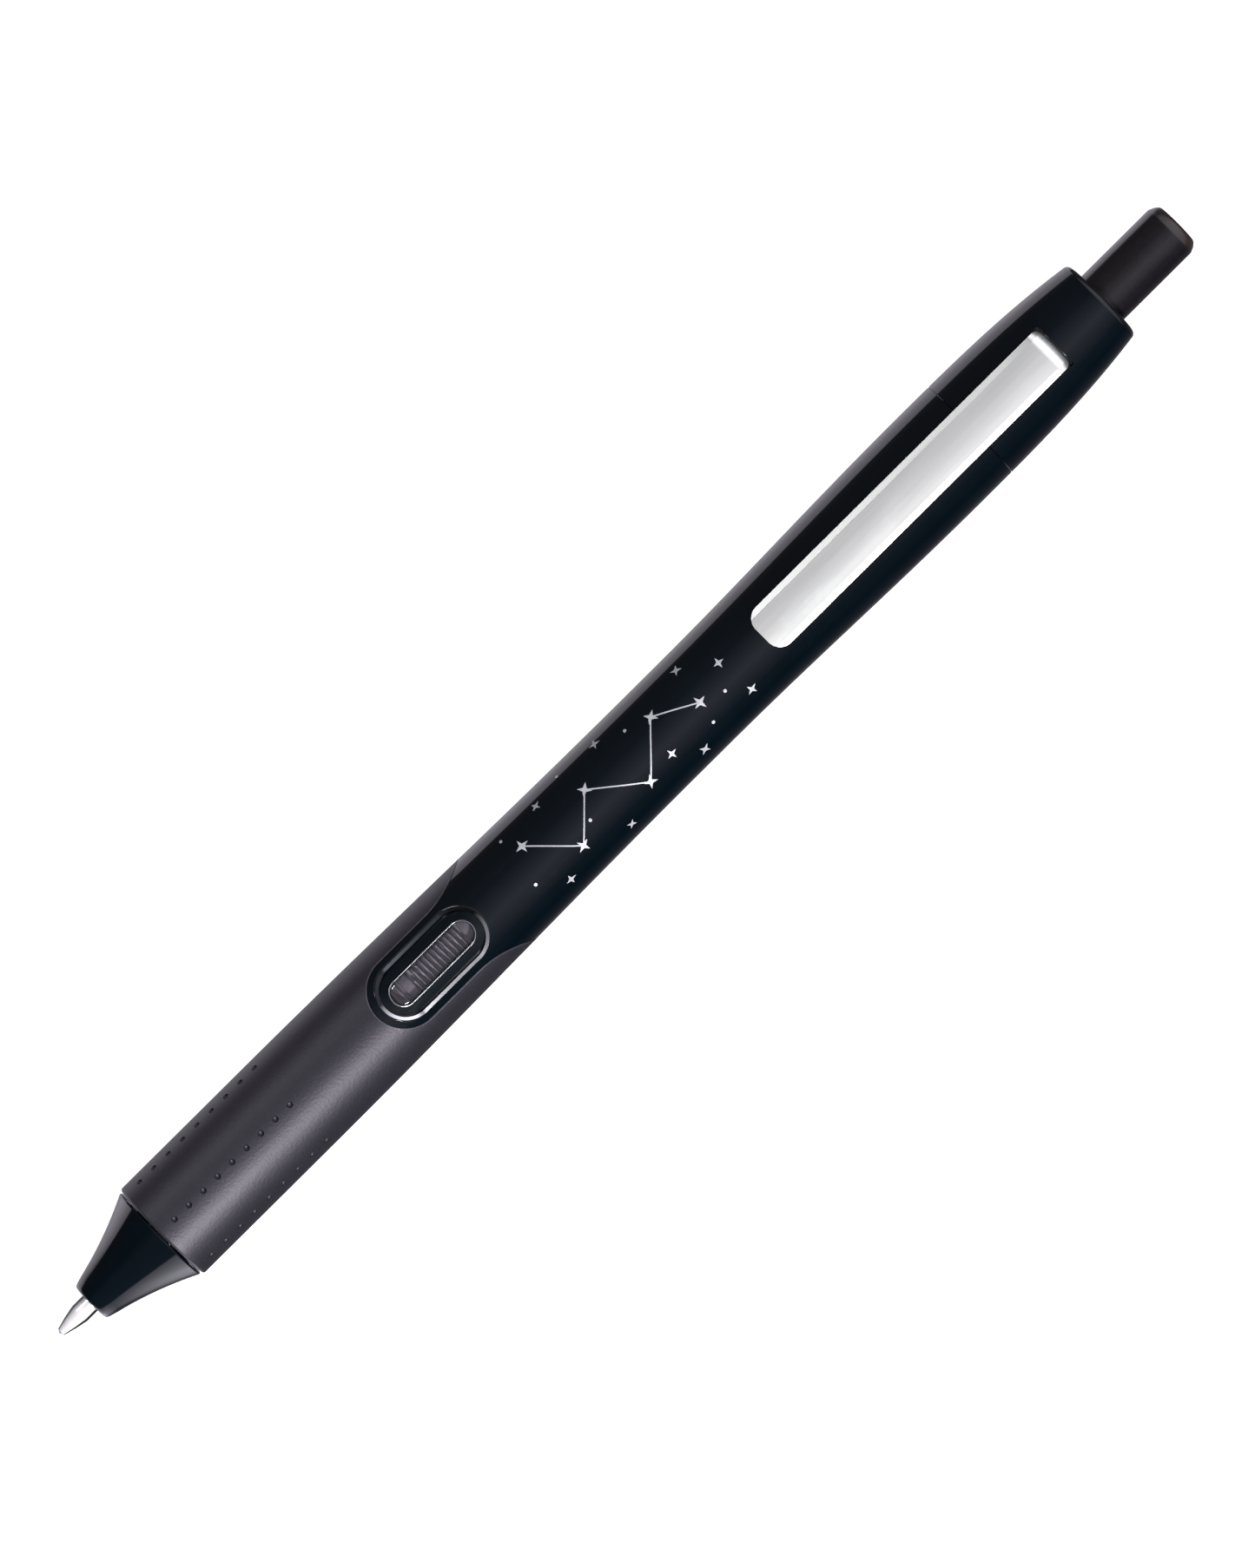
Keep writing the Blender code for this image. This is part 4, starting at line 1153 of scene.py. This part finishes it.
# %% A metal with drawn or turned lines
def lined_metal(name, dark, light, roughness, scale, depth):
    """Roughness is its least value and how much the lines add to it. Depth is in millimetres."""
    material, tree, shader, place = start(name, Metallic=1.0)
    stretched = add(tree, "Mapping", Vector=place, Scale=scale).outputs[0]
    drawn = noise(tree, stretched, 1.0, 5.0, Roughness=0.65)
    line = spread(tree, drawn, 0.3, 0.7)
    marks = effect(tree, smears, place, Amount=1.0)
    feed(shader, Base_Color=mix(tree, line, dark, light))
    rough = plus(tree, times(tree, line, roughness[1]), roughness[0])
    feed(shader, Roughness=plus(tree, rough, times(tree, marks.outputs["Mask"], 0.06)))
    bump(tree, shader, drawn, depth, 0.4)
    return material


clip_steel = lined_metal(
    "plated_clip_steel", (0.85, 0.88, 0.82), (0.89, 0.92, 0.86), (0.345, 0.03), (90, 4200, 4200), 0.001
)
bead_metal = lined_metal(
    "burnished_bead", (0.20, 0.21, 0.22), (0.28, 0.29, 0.30), (0.26, 0.06), (900, 900, 900), 0.001
)
step_metal = lined_metal(
    "burnished_step_painted_far_shade", (0.84, 0.88, 0.90), (0.92, 0.95, 0.97), (0.25, 0.05), (900, 900, 900), 0.001
)
point_steel = lined_metal(
    "turned_point_metal", (0.90, 0.89, 0.88), (0.98, 0.97, 0.96), (0.16, 0.08), (9000, 400, 400), 0.002
)
wire_steel = lined_metal(
    "drawn_spring_wire", (0.22, 0.205, 0.24), (0.32, 0.30, 0.34), (0.38, 0.12), (2600, 2600, 2600), 0.006
)
ball_metal = lined_metal(
    "ground_ball_carbide", (0.26, 0.26, 0.28), (0.36, 0.36, 0.38), (0.12, 0.10), (9000, 9000, 9000), 0.002
)

# %% The point's painted dark outline
# A polished round point mirrors the tent's dark bands in its steep sides. Layer Weight adds to them a painted
# dark reflection in the base colour, where the sides turn away from view.
tree = point_steel.node_tree
shader = tree.nodes["Principled BSDF"]
shader.inputs["Metallic"].default_value = 0.45
bright = shader.inputs["Base Color"].links[0].from_socket
# Painted dark reflection: the base colour turns nearly black where the surface faces away from view.
outline = spread(tree, add(tree, "LayerWeight", Blend=0.5).outputs["Facing"], 0.30, 0.42)
feed(shader, Base_Color=mix(tree, outline, bright, (0.01, 0.01, 0.01)))

# %% Painted shade on the dish's step: only the near side stays bright
# The colour follows the place across the pen: on the far side it is painted nearly black, as shade, so that
# only the near side shows a highlight.
tree = step_metal.node_tree
shader = tree.nodes["Principled BSDF"]
polished = shader.inputs["Base Color"].links[0].from_socket
place = tree.nodes["Texture Coordinate"].outputs["Object"]
# Painted shade: the step's colour turns nearly black towards the far side of the pen.
painted_far_shade = spread(tree, add(tree, "SeparateXYZ", Vector=place).outputs["Y"], -1.2 * MM, 0.6 * MM)
feed(shader, Base_Color=mix(tree, painted_far_shade, polished, (0.03, 0.032, 0.036)))

# %% [markdown]
# ## Printed silver
#
# Pad-printed ink is a pale paint with fine aluminium flakes. Its shine changes from flake to flake, and its
# tone drifts a little over the drawing.

# %% Silver ink
material, tree, shader, place = start("silver_print", Metallic=0.2)
flakes = add(tree, "TexVoronoi", Vector=place, Scale=14000.0).outputs["Distance"]
patchy = effect(tree, grain, place, Size=0.3)
feed(shader, Base_Color=mix(tree, patchy.outputs["Tone"], (0.31, 0.32, 0.34), (0.42, 0.43, 0.45)))
feed(shader, Roughness=spread(tree, flakes, 0.0, 0.6, 0.34, 0.55))
bump(tree, shader, flakes, 0.002, 0.5)
silver = material

# %% [markdown]
# ## Clear lens
#
# The window's lens is thin and clear, so light goes almost straight through it and only its gloss shows. A
# mirror whose opacity follows the angle of view does that without bending the view, and keeps the spring
# behind it well lit.

# %% Clear lens
material, tree, shader, place = start("clear_window", Metallic=1.0)
marks = effect(tree, smears, place, Amount=1.0)
hairs = effect(tree, scratches, place, Amount=1.0)
facing = add(tree, "Fresnel", IOR=1.49).outputs[0]
veil = plus(tree, times(tree, marks.outputs["Mask"], 0.03), times(tree, hairs.outputs["Mask"], 0.05))
feed(shader, Alpha=plus(tree, times(tree, facing, 0.8), veil))
feed(shader, Roughness=plus(tree, times(tree, marks.outputs["Mask"], 0.1), 0.04))
feed(shader, Base_Color=mix(tree, marks.outputs["Mask"], (0.95, 0.96, 1.0), (0.85, 0.86, 0.9)))
clear = material


# %% [markdown]
# ## The plastics inside
#
# The cam parts are unpainted acetal with a milky, slightly waxy surface. The spring's seat and collar are
# grey acetal, the refill's tube is frosted so that its ink shows as a dark core, and the follower behind the
# ink is a clear amber grease.

# %% Moulded plastics and fills
def moulded(name, dark, light, roughness, size, depth, **fixed):
    """Size is the grain's and depth its relief's, both in millimetres."""
    material, tree, shader, place = start(name, **fixed)
    texture = effect(tree, grain, place, Size=size)
    marks = effect(tree, smears, place, Amount=1.0)
    feed(shader, Base_Color=mix(tree, texture.outputs["Tone"], dark, light))
    feed(shader, Roughness=plus(tree, times(tree, marks.outputs["Mask"], 0.12), roughness))
    bump(tree, shader, texture.outputs["Height"], depth, 0.4)
    return material


milky_colours = (0.66, 0.66, 0.62), (0.80, 0.80, 0.77)
acetal = moulded("milky_acetal", *milky_colours, 0.34, 0.35, 0.012, Subsurface_Weight=0.1)
grey_acetal = moulded("grey_acetal", (0.060, 0.054, 0.068), (0.085, 0.076, 0.092), 0.44, 0.2, 0.012)
frosted = moulded("frosted_tube", (0.16, 0.16, 0.18), (0.24, 0.24, 0.26), 0.42, 0.25, 0.010)
gel_ink = moulded("black_gel_ink", (0.003, 0.003, 0.005), (0.006, 0.006, 0.009), 0.18, 0.5, 0.006)
grease = moulded("amber_follower_grease", (0.62, 0.50, 0.22), (0.78, 0.68, 0.40), 0.16, 0.6, 0.020)

# %% [markdown]
# ## Finishes and bodies
#
# Each new piece takes its finish, says which body of the mechanism it moves with, and which plain solid it
# stands for.

# %% Dress a piece and put it on its body
def dress(piece, finish, body, slot, *stands_for):
    piece.data.materials.clear()
    piece.data.materials.append(finish)
    if body:
        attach(piece, body)
    if stands_for:
        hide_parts(*stands_for)


dress(barrel, shell_finish, "barrel", "gloss_black_plastic", "front_barrel")
dress(bezel, bezel_finish, "barrel", "gloss_black_plastic")
dress(dish_slope, step_metal, "barrel", "gloss_black_plastic")
dress(bead, bead_metal, "barrel", "clear_plastic")
dress(nose, shell_finish, "barrel", "gloss_black_plastic", "nose_cone")
dress(cap, shell_finish, "barrel", "gloss_black_plastic", "end_cap")
dress(grip, rubber, "barrel", "soft_black_rubber", "grip_sleeve")
dress(grip_lip_top, rubber_edge, "barrel", "soft_black_rubber")
dress(grip_lip_back, rubber_edge, "barrel", "soft_black_rubber")
dress(lens, clear, "barrel", "clear_plastic", "window_lens")
dress(seat, grey_acetal, "barrel", "grey_acetal", "spring_seat")
dress(star_print, silver, "barrel", "natural_acetal")
dress(line_print, silver, "barrel", "natural_acetal")
dress(dot_print, silver, "barrel", "natural_acetal")
dress(collar, grey_acetal, "refill", "grey_acetal", "spring_collar")
dress(point, point_steel, "refill", "nickel_silver", "tip_point")
dress(button, satin, "button", "satin_black_plastic", "push_button")
dress(clip, clip_steel, "clip", "bright_chrome", "pocket_clip")
dress(spring, wire_steel, None, "spring_steel", "return_spring")
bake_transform(spring)

# %% Finishes of the solids inside
inside = {
    "cam_sleeve": acetal, "cam_rotor": acetal, "cam_plunger": acetal, "tip_holder": acetal,
    "tail_plug": acetal, "refill_tube": frosted, "ink_column": gel_ink, "ink_follower": grease,
    "tip_spring": wire_steel, "writing_ball": ball_metal,
}
for node, finish in inside.items():
    for material_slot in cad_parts[node].material_slots:
        material_slot.material = finish
print("solids kept from the frame:", len(inside))

# %% [markdown]
# ## Floor, light and camera
#
# The pen lies on a plain white table in a light tent. Gloss black shows nothing but its surroundings, so the
# tent matters more than the lamps: long soft panels run beside the pen, dim overhead, dark at the level of
# the table, and bright below on one side, which draws the sharp light band along the barrel's edge. Two
# small lamps model the rubber and the clip. They stand a little towards the tip, so that the straight gloss
# pieces send their reflection past the camera, and only rough surfaces show them.

# %% The floor
clear_selection()
bpy.ops.mesh.primitive_plane_add(size=6.0, location=(0.0, 0.0, -0.03 * MM))
floor = bpy.context.object
floor.name = "white_table"
edit_all(floor)
bpy.ops.mesh.subdivide(number_cuts=4)
leave_edit()
white, tree, shader, place = start(
    "white_table", Base_Color=(0.35, 0.35, 0.35, 1.0), Roughness=0.9, Emission_Color=(1.0, 1.0, 1.0, 1.0),
    Emission_Strength=0.97,
)
floor.data.materials.append(white)
floor.visible_glossy = False
floor.visible_diffuse = False

# %% The light tent
TENT = [
    (-180, 0.35), (-166, 0.5), (-140, 1.2), (-109, 1.5), (-107, 0.16), (-90, 0.12), (-30, 0.16), (0, 0.45),
    (22, 0.72), (45, 0.42), (70, 0.12), (100, 0.03), (140, 0.12), (180, 0.35),
]
TIP_TENT = [
    (-180, 0.35), (-140, 2.2), (-121, 2.3), (-100, 1.6), (-98, 0.08), (-30, 0.05), (0, 0.12),
    (30, 0.12), (68, 0.14), (72, 1.5), (120, 3.6), (150, 3.4), (180, 0.35),
]
REAR_TENT = [
    (-180, 0.12), (-100, 0.12), (-80, 0.9), (-30, 1.5), (30, 1.5), (80, 0.9), (100, 0.12), (180, 0.12),
]
world = bpy.data.worlds.new("light_tent")
bpy.context.scene.world = world
world.use_nodes = True
sky = world.node_tree
background = sky.nodes["Background"]
towards = add(sky, "TexCoord").outputs["Generated"]
parts = add(sky, "SeparateXYZ", Vector=towards)
round_pen = maths(sky, "ARCTAN2", times(sky, parts.outputs["Y"], -1.0), parts.outputs["Z"])
share = spread(sky, round_pen, -math.pi, math.pi)


def panels(bands):
    """A ramp of brightness round the pen, from angles in degrees. 0 is overhead and 90 is the near side."""
    ramp = add(sky, "ValToRGB", Fac=share)
    stops = ramp.color_ramp.elements
    while len(stops) > 1:
        stops.remove(stops[-1])
    for n, (angle, light) in enumerate(bands):
        stop = stops[0] if n == 0 else stops.new((angle + 180) / 360)
        stop.position = (angle + 180) / 360
        stop.color = (light, light, light, 1.0)
    return ramp.outputs["Color"]


over_tip = spread(sky, parts.outputs["X"], -0.25, -0.5)
both = mix(sky, over_tip, panels(TENT), panels(TIP_TENT))
over_button = spread(sky, parts.outputs["X"], 0.36, 0.46)
all_round = mix(sky, over_button, both, panels(REAR_TENT))
cool = mix(sky, 1.0, all_round, (0.97, 0.93, 1.04), blend="MULTIPLY")
seen = add(sky, "LightPath").outputs["Is Camera Ray"]
sky.links.new(mix(sky, seen, cool, (1.0, 1.0, 1.0)), background.inputs["Color"])
background.inputs["Strength"].default_value = 1.0

# %% Two small lamps on the tip's side
def soft_lamp(name, towards_lamp, distance, size, energy):
    direction = Vector(towards_lamp).normalized()
    clear_selection()
    bpy.ops.object.light_add(type="AREA", location=AXIS + direction * distance)
    lamp = bpy.context.object
    lamp.name = name
    lamp.data.shape = "DISK"
    lamp.data.size = size
    lamp.data.energy = energy
    lamp.data.color = (1.0, 0.98, 1.02)
    lamp.rotation_euler = direction.to_track_quat("Z", "Y").to_euler()


soft_lamp("near_lamp", (-0.25, -0.67, 0.70), 0.6, 0.10, 5.6)
soft_lamp("far_lamp", (-0.20, 0.66, 0.71), 0.6, 0.10, 0.75)

# %% The camera looks straight down on the clip's side
VIEW_TURN = math.radians(44.8)
FRAME_HEIGHT = 145.87
AIM_RIGHT, AIM_UP = 0.85, -0.486
LENS = 300.0
SENSOR = 36.0
right = Vector((math.cos(VIEW_TURN), -math.sin(VIEW_TURN), 0.0))
up = Vector((math.sin(VIEW_TURN), math.cos(VIEW_TURN), 0.0))
middle = at(LENGTH / 2, 0.0, 0.0) + (right * AIM_RIGHT + up * AIM_UP) * MM
bpy.ops.object.camera_add(location=middle + Vector((0.0, 0.0, FRAME_HEIGHT * MM * LENS / SENSOR)))
camera = bpy.context.object
camera.rotation_euler = Matrix((right, up, (0.0, 0.0, 1.0))).transposed().to_euler()
camera.data.lens = LENS
camera.data.sensor_width = SENSOR
camera.data.sensor_height = SENSOR
camera.data.sensor_fit = "AUTO"
camera.data.clip_start = 0.01
camera.data.clip_end = 10.0
bpy.context.scene.camera = camera
bpy.context.scene.view_settings.view_transform = "Standard"
